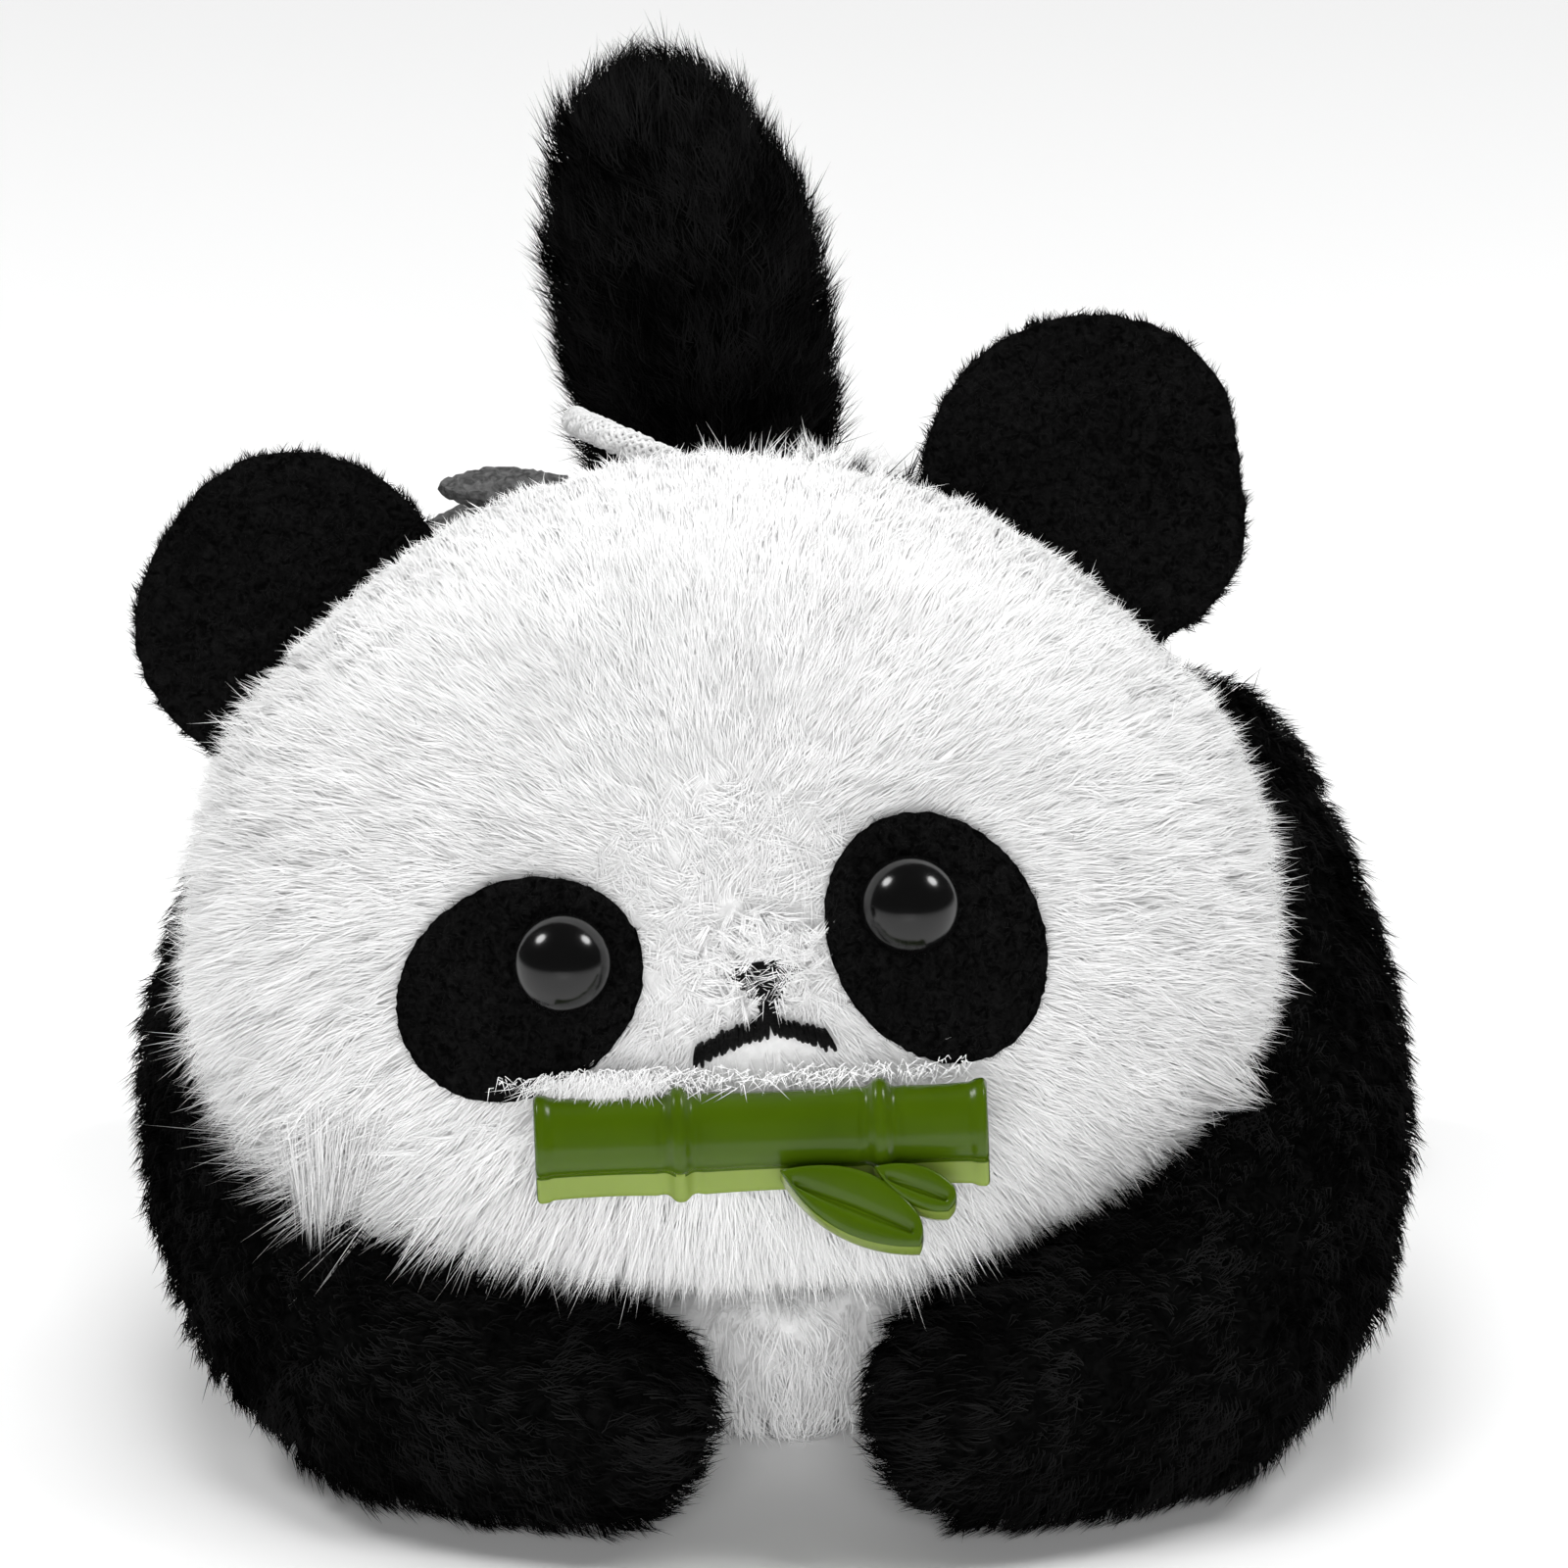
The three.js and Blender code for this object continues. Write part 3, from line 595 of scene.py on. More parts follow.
def head_panel(name, keep, rows=96, columns=160):
    """The part of the head's skin where keep is true, as one open panel."""
    polar = np.linspace(0, math.pi, rows)[:, None]
    around = np.linspace(0, 2 * math.pi, columns, endpoint=False)[None, :]
    directions = np.stack([np.sin(polar) * np.cos(around), np.sin(polar) * np.sin(around),
                           np.cos(polar) + 0 * around], axis=2).reshape(-1, 3)
    points = head_skin_points(directions)
    faces = []
    for face in ring_faces(rows, columns):
        if keep(points[list(face)].mean(0)):
            faces.append(face[::-1])
    used = sorted({corner for face in faces for corner in face})
    renumber = {old: new for new, old in enumerate(used)}
    faces = [[renumber[corner] for corner in face] for face in faces]
    piece = make_mesh(name, head_place(points[used]), faces, [WHITE_CLOTH])
    bm = bmesh.new()
    bm.from_mesh(piece.data)
    bmesh.ops.remove_doubles(bm, verts=bm.verts, dist=0.02 * MM)
    bmesh.ops.solidify(bm, geom=bm.faces, thickness=HEAD_CLOTH * MM)
    bm.to_mesh(piece.data)
    bm.free()
    piece.data.polygons.foreach_set("use_smooth", np.full(len(piece.data.polygons), True))
    return piece


def below_cheek_seams(points):
    return face_axes(np.atleast_2d(points))[:, 1] < CHIN_SEAM_Z


def make_head():
    panels = {
        "face_panel": lambda p: p[1] < HEAD_SEAM_Y and not below_cheek_seams(p)[0],
        "chin_panel": lambda p: p[1] < HEAD_SEAM_Y and below_cheek_seams(p)[0],
        "head_back_panel": lambda p: p[1] >= HEAD_SEAM_Y,
    }
    for node, keep in panels.items():
        panel = head_panel(node.replace("_panel", "_plush"), keep)
        stand_for(panel, node, "head")


def under_patch(places, margin):
    """Which places along the face axes lie under an eye patch, its outline moved in by margin."""
    covered = np.zeros(len(places), bool)
    for patch in PATCHES:
        centre = face_axes(face_points((patch["x"], patch["z"])))[0]
        turn = math.radians(patch["turn"]) - FACE_ROLL
        offset = places - centre
        u = offset[:, 0] * math.cos(turn) + offset[:, 1] * math.sin(turn)
        v = -offset[:, 0] * math.sin(turn) + offset[:, 1] * math.cos(turn)
        covered |= (u / (patch["long"] - margin)) ** 2 + (v / (patch["short"] - margin)) ** 2 < 1
    return covered


def near_route(route, reach):
    """A test for points that come that near a line of points."""
    route = smooth_route(route, 40)

    def test(points):
        low, high = route.min(0) - reach, route.max(0) + reach
        close = np.all((points > low) & (points < high), axis=1)
        found = np.zeros(len(points), bool)
        gaps = np.linalg.norm(points[close][:, None] - route[None], axis=2)
        found[close] = gaps.min(1) < reach if len(gaps) else False
        return found

    return test


def bamboo_axes():
    """The bamboo's place in the head's frame, at the middle of its back, and its turn."""
    place = face_points((0, BAMBOO_Z))[0]
    place[1] = face_points((0, BAMBOO_Z + BAMBOO_HALF_HEIGHT))[0][1] - BAMBOO_GAP
    return place, np.array(Euler((-BAMBOO_LIFT, -BAMBOO_TURN, 0)).to_matrix())


def in_bamboo(points):
    """Which points of the toy lie within the bamboo stick or just behind its face."""
    place, turn = bamboo_axes()
    local = (into_head(points) - place) @ turn
    share = local[:, 2] / BAMBOO_HALF_HEIGHT
    dome = BAMBOO_WALL + BAMBOO_DOME * np.sqrt(np.clip(1 - share ** 2, 0, 1))
    across = np.abs(local[:, 0]) < BAMBOO_LENGTH / 2 + 0.1
    upward = np.abs(local[:, 2]) < BAMBOO_HALF_HEIGHT + 0.1
    return across & upward & (local[:, 1] > -dome) & (local[:, 1] < 1)


def head_obstacles():
    """What the head's strands don't pass through: the loop, the felt leaves and the bamboo."""
    tests = [in_bamboo, near_route(np.array(CORD_ROUTE) / MM, 1.7)]
    for leaf in FELT_LEAVES.values():
        ends = np.array([leaf["root"], leaf["tip"]])
        inner = ends[0] + (ends[1] - ends[0]) * 0.25
        tests.append(near_route(head_place(np.array([inner, ends[1]])), 1.7))
    return lambda points: np.any([test(points) for test in tests], axis=0)


CHEEK = {"centre": (-31, -10), "reach": 8.0, "extra": 2.6, "way": (-0.8, -0.2, -0.75)}
TUFTS = {  # long pointed tufts: (x, z) centre, reach, (x, y, z) tip in the head's frame, most strands
    "tuft_left": ((-28.5, -12.5), 6.4, (-29.6, -11.6, -23.2), 1300),
    "tuft_right": ((32.0, -9.0), 5.0, (38.6, -2.0, -12.6), 900),
}


def cheek_tuft(name, centre, reach, tip, count):
    """Long strands that draw together from a patch of the cheek to one point."""
    rng = np.random.default_rng(int(reach * 10))
    points = head_skin_points(unit(rng.normal(size=(count * 60, 3))))
    near = np.linalg.norm(points[:, [0, 2]] - centre, axis=1) < reach
    points = points[near & (points[:, 1] < 0)]
    away = np.linalg.norm(points[:, [0, 2]] - centre, axis=1, keepdims=True) / reach
    chosen = rng.random(len(points)) < np.exp(-((away[:, 0] / 0.62) ** 2))
    most = int(count * FUR_SHARE)
    points, away = points[chosen][:most], away[chosen][:most]
    normals = head_normals(points)
    share = rng.uniform(0.62, 1.0, (len(points), 1)) * (1 - 0.35 * away)
    target = np.array(tip) + (points - points.mean(0)) * (0.35, 0.2, 0.1)
    target += rng.normal(0, 0.4, points.shape)
    bends = points + (target - points) * share * 0.5 + normals * (1.1 - 0.6 * away)
    tips = points + (target - points) * share
    facing = head_direction(unit(normals + rng.normal(0, 0.2, points.shape)))
    shades = rng.choice(3, len(points), p=[0.55, 0.3, 0.15])
    radii = rng.uniform(0.04, 0.065, len(points))
    roots = points - normals * 0.3
    add_strands(name, "head", head_place(roots), head_place(bends), head_place(tips), radii, facing,
                shades, WHITE_STRANDS, "white_plush")


def head_fur():
    """The pile of the head: combed away from the bridge of the nose, tousled there, long on the cheeks."""
    rng = np.random.default_rng(11)
    count = int(HEAD_CLUMPS * FUR_SHARE)
    directions = unit(rng.normal(size=(count, 3)))
    points = head_skin_points(directions)
    stretch = np.linalg.norm(points, axis=1) ** 2
    points = points[rng.random(count) < stretch / stretch.max()]
    normals = head_normals(points)
    front = points[:, 1] < HEAD_SEAM_Y
    places = face_axes(points)
    in_front = points[:, 1] < 0

    across, upward = places.T
    bamboo = (np.abs(across) < BAMBOO_LENGTH / 2 - 0.4) & (np.abs(upward - BAMBOO_Z - 1.9) < 1.3)
    sewn = (np.abs(across - 1) < 4.6) & (np.abs(upward + 7.6) < 1.0)
    bare = in_front & (under_patch(places, 0.5) | bamboo | sewn)
    nape = np.linalg.norm(points[:, [0, 2]] - [3, -3], axis=1) < 9
    keep = ~bare & ~(nape & ~front) & (front | (rng.random(len(points)) < 0.55))
    points, normals, front = points[keep], normals[keep], front[keep]

    bridge = face_points(BRIDGE)[0]
    comb = points - bridge
    distance = np.linalg.norm(comb, axis=1)
    comb[:, 2] += np.where(points[:, 1] > 0, -6.0, 0.0)
    crown = np.clip((points[:, 2] - 14) / 9, 0, 1) * np.clip((points[:, 1] + 18) / 10, 0, 1)
    side = np.clip((np.abs(points[:, 0]) - 22) / 12, 0, 1) * (1 - crown)
    hem = np.exp(-(((points[:, 2] + 17.5) / 4) ** 2)) * front
    left_hem = hem * np.clip((20 - points[:, 0]) / 8, 0, 1)
    length = 2.8 - 0.8 * crown + 0.8 * side + 0.8 * hem + 3.4 * left_hem + 0.25 * waves(points, 7, 5)
    lean = 56 + 4 * crown - 8 * side - 24 * hem + 6 * waves(points, 5, 6)
    from_cheek = np.linalg.norm(points[:, [0, 2]] - CHEEK["centre"], axis=1)
    cheek = np.exp(-((from_cheek / CHEEK["reach"]) ** 2))
    length += CHEEK["extra"] * cheek
    comb += cheek[:, None] * 60 * np.array(CHEEK["way"])
    world, world_normals, world_comb = head_place(points), head_direction(normals), head_direction(comb)
    wild = np.exp(-((distance / 9.5) ** 2))
    chin = below_cheek_seams(points) & front
    blocked = head_obstacles()
    regions = {"face_fur": front & ~chin & (wild < 0.35), "brow_fur": front & ~chin & (wild >= 0.35),
               "chin_fur": chin, "head_back_fur": ~front}
    for number, (name, chosen) in enumerate(regions.items()):
        tousled = name == "brow_fur"
        grow_fur(name, "head", world[chosen], world_normals[chosen], world_comb[chosen], WHITE_STRANDS,
                 "white_plush", seed=20 + number, length=length[chosen] * (0.85 if tousled else 1),
                 lean=lean[chosen] + (8 if tousled else 0), tousle=60 if tousled else 14,
                 strands=7 if name == "head_back_fur" else 10, blocked=blocked)
    nose_hairs(blocked)
    muzzle_fringe()
    for name, shape in TUFTS.items():
        cheek_tuft(name, *shape)


def muzzle_fringe():
    """Hairs of the muzzle that hang over the bamboo's top edge, longest at its left corner."""
    rng = np.random.default_rng(37)
    count = int(1300 * FUR_SHARE)
    x = np.concatenate([rng.uniform(-16, 15, count // 3), rng.normal(-11, 2.6, count - count // 3)])
    z = BAMBOO_HALF_HEIGHT + rng.uniform(0.2, 1.4, count)
    corner = np.exp(-(((x + 11.5) / 3.5) ** 2))
    place, turn = bamboo_axes()
    edge = np.stack([x, 0 * x, z], axis=1) @ turn.T + place
    roots = face_points(face_axes(edge), -0.3)
    out = [rng.normal(0, 0.4, count), -rng.uniform(3.3, 4.4, count), rng.uniform(-0.3, 0.6, count)]
    hang = rng.uniform(0.1, 1.3, count) + corner * rng.uniform(0.3, 2.0, count)
    down = [rng.normal(-0.3, 0.8, count), -rng.uniform(0.5, 1.4, count), -hang]
    bends = roots + np.stack(out, axis=1)
    tips = bends + np.stack(down, axis=1)
    facing = head_direction(unit(np.array([0, -1, 0.45]) + rng.normal(0, 0.2, (count, 3))))
    shades = rng.choice(3, count, p=[0.5, 0.3, 0.2])
    radii = rng.uniform(0.035, 0.055, count)
    add_strands("muzzle_fringe", "head", head_place(roots), head_place(bends), head_place(tips), radii,
                facing, shades, WHITE_STRANDS, "white_plush")


def nose_hairs(blocked):
    """Loose hairs that lie across the nose and half hide it."""
    rng = np.random.default_rng(29)
    count = int(190 * FUR_SHARE)
    places = rng.normal((1.9, -2.2), (2.1, 1.3), (count, 2))
    places = places[places[:, 1] > -5.6]
    points = face_points(places, 0.2)
    comb = rng.normal(size=points.shape) + (0, 0, 0.4)
    grow_fur("nose_hairs", "head", head_place(points), head_direction(head_normals(points)),
             head_direction(comb), WHITE_STRANDS, "white_plush", seed=30, length=2.2, lean=58, strands=8,
             tousle=80, clump=0.4, gather=0.9, radius=0.045, stray=0.1, blocked=blocked)


# ---------- Eyes ----------
def eye_patch(patch):
    """A felt oval laid over the face, its edge slightly ragged and rounded."""
    steps = 120
    angles = np.linspace(0, 2 * math.pi, steps, endpoint=False)
    turn = math.radians(patch["turn"])
    centre = face_points((patch["x"], patch["z"]))[0]
    rng = np.random.default_rng(int(patch["long"] * 10))
    ragged = rng.normal(0, 0.05, steps)
    rows = []
    profile = [(1.0, 0.15), (1.0, FELT * 0.75), (0.975, FELT + 0.12), (0.94, FELT + 0.2)]
    profile += [(share, FELT + 0.2) for share in np.linspace(0.88, 0.04, 14)]
    for share, lift in profile:
        u = (patch["long"] * share + ragged * (share > 0.93)) * np.cos(angles)
        v = (patch["short"] * share + ragged * (share > 0.93)) * np.sin(angles)
        x = centre[0] + u * math.cos(turn) - v * math.sin(turn)
        z = centre[2] + u * math.sin(turn) + v * math.cos(turn)
        places = face_axes(np.stack([x, 0 * x, z], axis=1))
        rows.append(face_points(places, lift))
    rings = np.array(rows)
    back = face_points(face_axes(centre[None, :]), 0.1)[0]
    middle = face_points(face_axes(centre[None, :]), FELT + 0.2)[0]
    points, faces = capped_rings(rings, back, middle)
    piece = make_mesh(f"eye_patch_felt_{patch['side']}", head_place(points), faces, [BLACK_FELT])
    stand_for(piece, f"eye_patch_{patch['side']}", "head")
    return piece


def felt_fuzz(name, body, surface, count, seed):
    """Short loose fibres that lie in every direction on the front of the felt."""
    rng = np.random.default_rng(seed)
    places, normals = scatter(surface, int(count * FUR_SHARE), rng)
    chosen = normals @ head_direction([0, -1, 0]) > 0.1
    places, normals = places[chosen], normals[chosen]
    comb = rng.normal(size=places.shape)
    grow_fur(name, body, places, normals, comb, BLACK_STRANDS, "black_felt", seed=seed + 1, length=0.75,
             lean=68, strands=2, tousle=90, clump=0.3, gather=1.0, radius=0.022, stray=0.05)


def bead_eye(side, place):
    """A polished bead on a narrow foot."""
    point = face_points(place)[0]
    normal = head_normals(point[None])[0]
    foot = FELT + 0.35
    heights = [(2.2, foot), (3.1, foot)]
    start = -math.asin(EYE_RISE / EYE_RADIUS)
    for step in range(28):
        angle = start + (math.pi / 2 - start) * (step + 0.5) / 28.5
        heights.append((EYE_RADIUS * math.cos(angle), foot + EYE_RISE + EYE_RADIUS * math.sin(angle)))
    angles = np.linspace(0, 2 * math.pi, 56, endpoint=False)
    around = np.stack([np.cos(angles), np.sin(angles), 0 * angles], axis=1)
    rings = [radius * around + (0, 0, height) for radius, height in heights]
    top = (0, 0, foot + EYE_RISE + EYE_RADIUS)
    points, faces = capped_rings(np.array(rings), (0, 0, foot), top)
    turn = np.array(Vector((0, 0, 1)).rotation_difference(Vector(normal)).to_matrix())
    piece = make_mesh(f"bead_{side}", head_place(points @ turn.T + point), faces, [BEAD])
    stand_for(piece, f"bead_eye_{side}", "head")


def make_eyes():
    for number, patch in enumerate(PATCHES):
        felt = eye_patch(patch)
        felt_fuzz(f"eye_patch_fuzz_{patch['side']}", "head", surface_of(felt), 5000, 60 + number)
    for side, place in EYES.items():
        bead_eye(side, place)


# ---------- Nose and mouth: satin stitches ----------
def thread_tube(path, radius, sides):
    """Points and faces of one thread along a path, closed at both ends."""
    path = np.asarray(path)
    along = unit(np.gradient(path, axis=0))
    side = unit(np.cross(along, [0.2, 0.9, 0.4]))
    other = np.cross(along, side)
    angles = np.linspace(0, 2 * math.pi, sides, endpoint=False)
    thickness = radius * np.sin(np.linspace(0.35, math.pi - 0.35, len(path))) ** 0.3
    rings = []
    for at, a, b, r in zip(path, side, other, thickness):
        rings.append(at + r * (np.cos(angles)[:, None] * a + np.sin(angles)[:, None] * b))
    return capped_rings(np.array(rings), path[0], path[-1])


def stitches(name, pairs, node, seed):
    """Threads laid side by side over the face, each between the two places of a pair."""
    rng = np.random.default_rng(seed)
    threads = []
    for a, b in pairs:
        a, b = np.array(a) + rng.normal(0, 0.1, 2), np.array(b) + rng.normal(0, 0.1, 2)
        share = np.linspace(0, 1, 7)
        places = a + (b - a) * share[:, None]
        lift = -0.1 + 1.1 * np.sin(math.pi * np.clip(share, 0.02, 0.98)) ** 0.4
        path = [head_place(face_points(place, rise))[0] for place, rise in zip(places, lift)]
        threads.append(thread_tube(path, 0.19, 6))
    piece = make_mesh(name, *merged(threads), [THREAD])
    stand_for(piece, node, "head")


def make_nose_and_mouth():
    nose = []
    for row in np.linspace(0, 1, 13):
        half = np.interp(row, [0, 0.3, 1], [1.7, 2.8, 0.7])
        height = -2.2 - 2.5 * row
        nose.append(((1.9 - half, height), (1.9 + half, height)))
    for height in np.linspace(-4.7, -6.3, 8):
        nose.append(((1.3, height), (2.5, height - 0.1)))
    stitches("nose_thread", nose, "nose_stitching", 71)
    mouth = []
    for share in np.linspace(0, 1, 34):
        x, z = 1.6 - 5.4 * share, -6.6 - 1.3 * share ** 1.3
        mouth.append(((x + 0.2, z + 0.65 + max(0, 0.9 - 5 * share)), (x - 0.2, z - 0.65)))
    for share in np.linspace(0, 1, 26):
        x, z = 1.8 + 4.0 * share, -6.6 - 1.6 * share ** 1.1
        mouth.append(((x - 0.2, z + 0.65 + max(0, 0.9 - 5 * share)), (x + 0.2, z - 0.65)))
    stitches("mouth_thread", mouth, "mouth_stitching", 72)


# ---------- Bamboo charm ----------
def bamboo_place(points):
    """From the charm's own frame, x along the stick and -y outwards, to the toy's."""
    place, turn = bamboo_axes()
    return head_place(points @ turn.T + place)


def bamboo_swell(x):
    """The stick's size along its length: slimmer between its rings, fuller at each ring and each end."""
    size = 0.985 + 0 * x
    stops = [-BAMBOO_LENGTH / 2, *BAMBOO_RINGS, BAMBOO_LENGTH / 2]
    for low, high in zip(stops[:-1], stops[1:]):
        share = np.clip((x - low) / (high - low), 0, 1)
        size -= 0.055 * np.sin(math.pi * share) ** 0.8
    for ring in BAMBOO_RINGS:
        away = np.abs(x - ring)
        size += 0.115 * np.exp(-((away / 0.62) ** 4)) - 0.03 * np.exp(-(((away - 1.15) / 0.35) ** 2))
    for end in (stops[0] + 0.55, stops[-1] - 0.55):
        size += 0.045 * np.exp(-(((x - end) / 0.5) ** 4))
    edge = np.clip((BAMBOO_LENGTH / 2 - np.abs(x)) / 0.35, 0, 1)
    return size - 0.07 * (1 - np.sqrt(1 - (1 - edge) ** 2))


def stick_section():
    """Places round the stick's section as (height, depth): domed front, wide bevel below it, flat back."""
    top, bottom = BAMBOO_HALF_HEIGHT, -BAMBOO_HALF_HEIGHT
    bevel = bottom + BAMBOO_BEVEL
    section = [(top, 0.3), (top, 1.0), (top, BAMBOO_WALL * 0.8)]
    middle = (top + bevel) / 2
    half = (top - bevel) / 2
    for angle in np.linspace(0.06, math.pi - 0.12, 40):
        height = half * math.copysign(abs(math.cos(angle)) ** 0.82, math.cos(angle))
        section.append((middle + height * 0.995, BAMBOO_WALL + BAMBOO_DOME * math.sin(angle) ** 0.9))
    section += [(bevel - 0.12, BAMBOO_WALL), (bottom + 0.25, 0.9), (bottom, 0.6), (bottom, 0.3)]
    section += [(bottom + 0.3, 0.0), (0.0, 0.0), (top - 0.3, 0.0)]
    return np.array(section)


def bamboo_stick():
    """Points and faces of the stick in the charm's own frame."""
    section = stick_section()
    half = BAMBOO_LENGTH / 2
    stations = np.unique(np.concatenate([np.linspace(-half, half, 150), -half + np.linspace(0, 0.5, 8),
                                         half - np.linspace(0, 0.5, 8)]))
    rings = []
    for x, size in zip(stations, bamboo_swell(stations)):
        height, depth = section[:, 0] * size, section[:, 1] * size
        rings.append(np.stack([0 * height + x, -depth, height], axis=1))
    rings = np.array(rings)[:, ::-1]
    return capped_rings(rings, (-half + 0.25, -2.2, 0), (half - 0.25, -2.2, 0))


def charm_leaf(outline, spine):
    """A thick leaf plate: a bevelled rim, widest at its back and low side, and a groove along its spine."""
    outline, spine = np.array(outline), np.array(spine)
    run = spine[1] - spine[0]
    share = np.clip((outline - spine[0]) @ run / (run @ run), 0, 1)
    middle = spine[0] + share[:, None] * run
    front = LEAF_BACK + LEAF_THICKNESS
    profile = [(0.80, LEAF_ROOT), (0.96, LEAF_ROOT + 0.3), (1.0, LEAF_BACK), (1.0, front - 0.4),
               (0.975, front - 0.15), (0.93, front), (0.80, front + 0.08), (0.55, front + 0.12),
               (0.30, front + 0.02), (0.14, front - 0.16), (0.03, front - 0.42)]
    rings = []
    for size, depth in profile:
        flat = middle + (outline - middle) * size
        drop = LEAF_RIM * min((front - depth) / LEAF_THICKNESS, 1)
        rings.append(np.stack([flat[:, 0], 0 * share - depth, flat[:, 1] - drop], axis=1))
    centre = spine.mean(0)
    start = (centre[0], -LEAF_ROOT, centre[1] - LEAF_RIM)
    end = (centre[0], -front + 0.16, centre[1])
    return capped_rings(np.array(rings), start, end)


def bezier(points, steps):
    """Places along a quadratic or cubic curve, without its last."""
    share = np.linspace(0, 1, steps, endpoint=False)[:, None]
    rows = [np.array(point, float) + 0 * share for point in points]
    while len(rows) > 1:
        rows = [a + (b - a) * share for a, b in zip(rows[:-1], rows[1:])]
    return rows[0]


def make_bamboo():
    big = np.concatenate([
        bezier([(1.2, -2.3), (2.8, -5.4), (6.0, -8.0), (10.8, -8.0)], 26),
        bezier([(10.8, -8.0), (11.6, -6.6), (10.3, -5.0)], 10),
        bezier([(10.3, -5.0), (8.2, -2.2), (5.0, -1.6), (1.2, -2.3)], 18),
    ])
    small = np.concatenate([
        bezier([(7.8, -2.3), (9.0, -4.6), (11.0, -5.8), (12.9, -5.6)], 16),
        bezier([(12.9, -5.6), (13.9, -4.8), (13.3, -3.8)], 8),
        bezier([(13.3, -3.8), (11.4, -1.6), (7.8, -2.3)], 14),
    ])
    points, faces = merged([bamboo_stick(), charm_leaf(big, [(2.2, -3.4), (10.2, -6.9)]),
                            charm_leaf(small, [(8.8, -3.3), (12.7, -4.8)])])
    piece = make_mesh("bamboo_moulding", bamboo_place(points), faces, [BAMBOO, BAMBOO_PAINTED_REFLECTION])
    for polygon, face in zip(piece.data.polygons, faces):  # the lower bevel and rims are lighter: a painted reflection of the floor
        corners = points[list(face[:3])]
        facing = unit(np.cross(corners[1] - corners[0], corners[2] - corners[0])[None])[0]
        middle = corners.mean(0)
        low = middle[2] < BAMBOO_BEVEL - 0.2 - BAMBOO_HALF_HEIGHT
        behind = middle[1] > LEAF_RIM - LEAF_BACK - LEAF_THICKNESS
        polygon.material_index = int(low and behind and abs(facing[2]) > 0.4)
    stand_for(piece, "bamboo_charm", "head")


# ---------- Ears ----------
def ear_frame(ear):
    """The ear's own frame: its foot on the head, the turn that lays x along the seam, and its centre."""
    point = np.array([[ear["x"], 0.0, ear["z"]]])
    foot = point / math.sqrt(head_measure(point)[0])
    normal = head_normals(foot)[0]
    angle = math.atan2(normal[0], normal[2])
    turn = np.array(Euler((0, angle, 0)).to_matrix())
    foot = foot[0] + (0, EAR_DEPTH_Y, 0)
    centre = (np.array([ear["x"], EAR_DEPTH_Y, ear["z"]]) - foot) @ turn
    return foot, turn, centre


def ear_outline(ear, centre, steps, root=-0.6):
    """Places (x, z) round the ear: round, a little flatter at one corner, cut straight at the seam."""
    angles = np.linspace(0, 2 * math.pi, steps, endpoint=False)
    away = np.angle(np.exp(1j * (angles - math.radians(ear["flat_at"]))))
    radius = ear["radius"] * (1 - ear["flat"] * np.exp(-((away / 0.5) ** 2)))
    x = centre[0] + radius * np.cos(angles)
    z = centre[2] + radius * np.sin(angles)
    return np.stack([x, np.maximum(z, root)], axis=1)


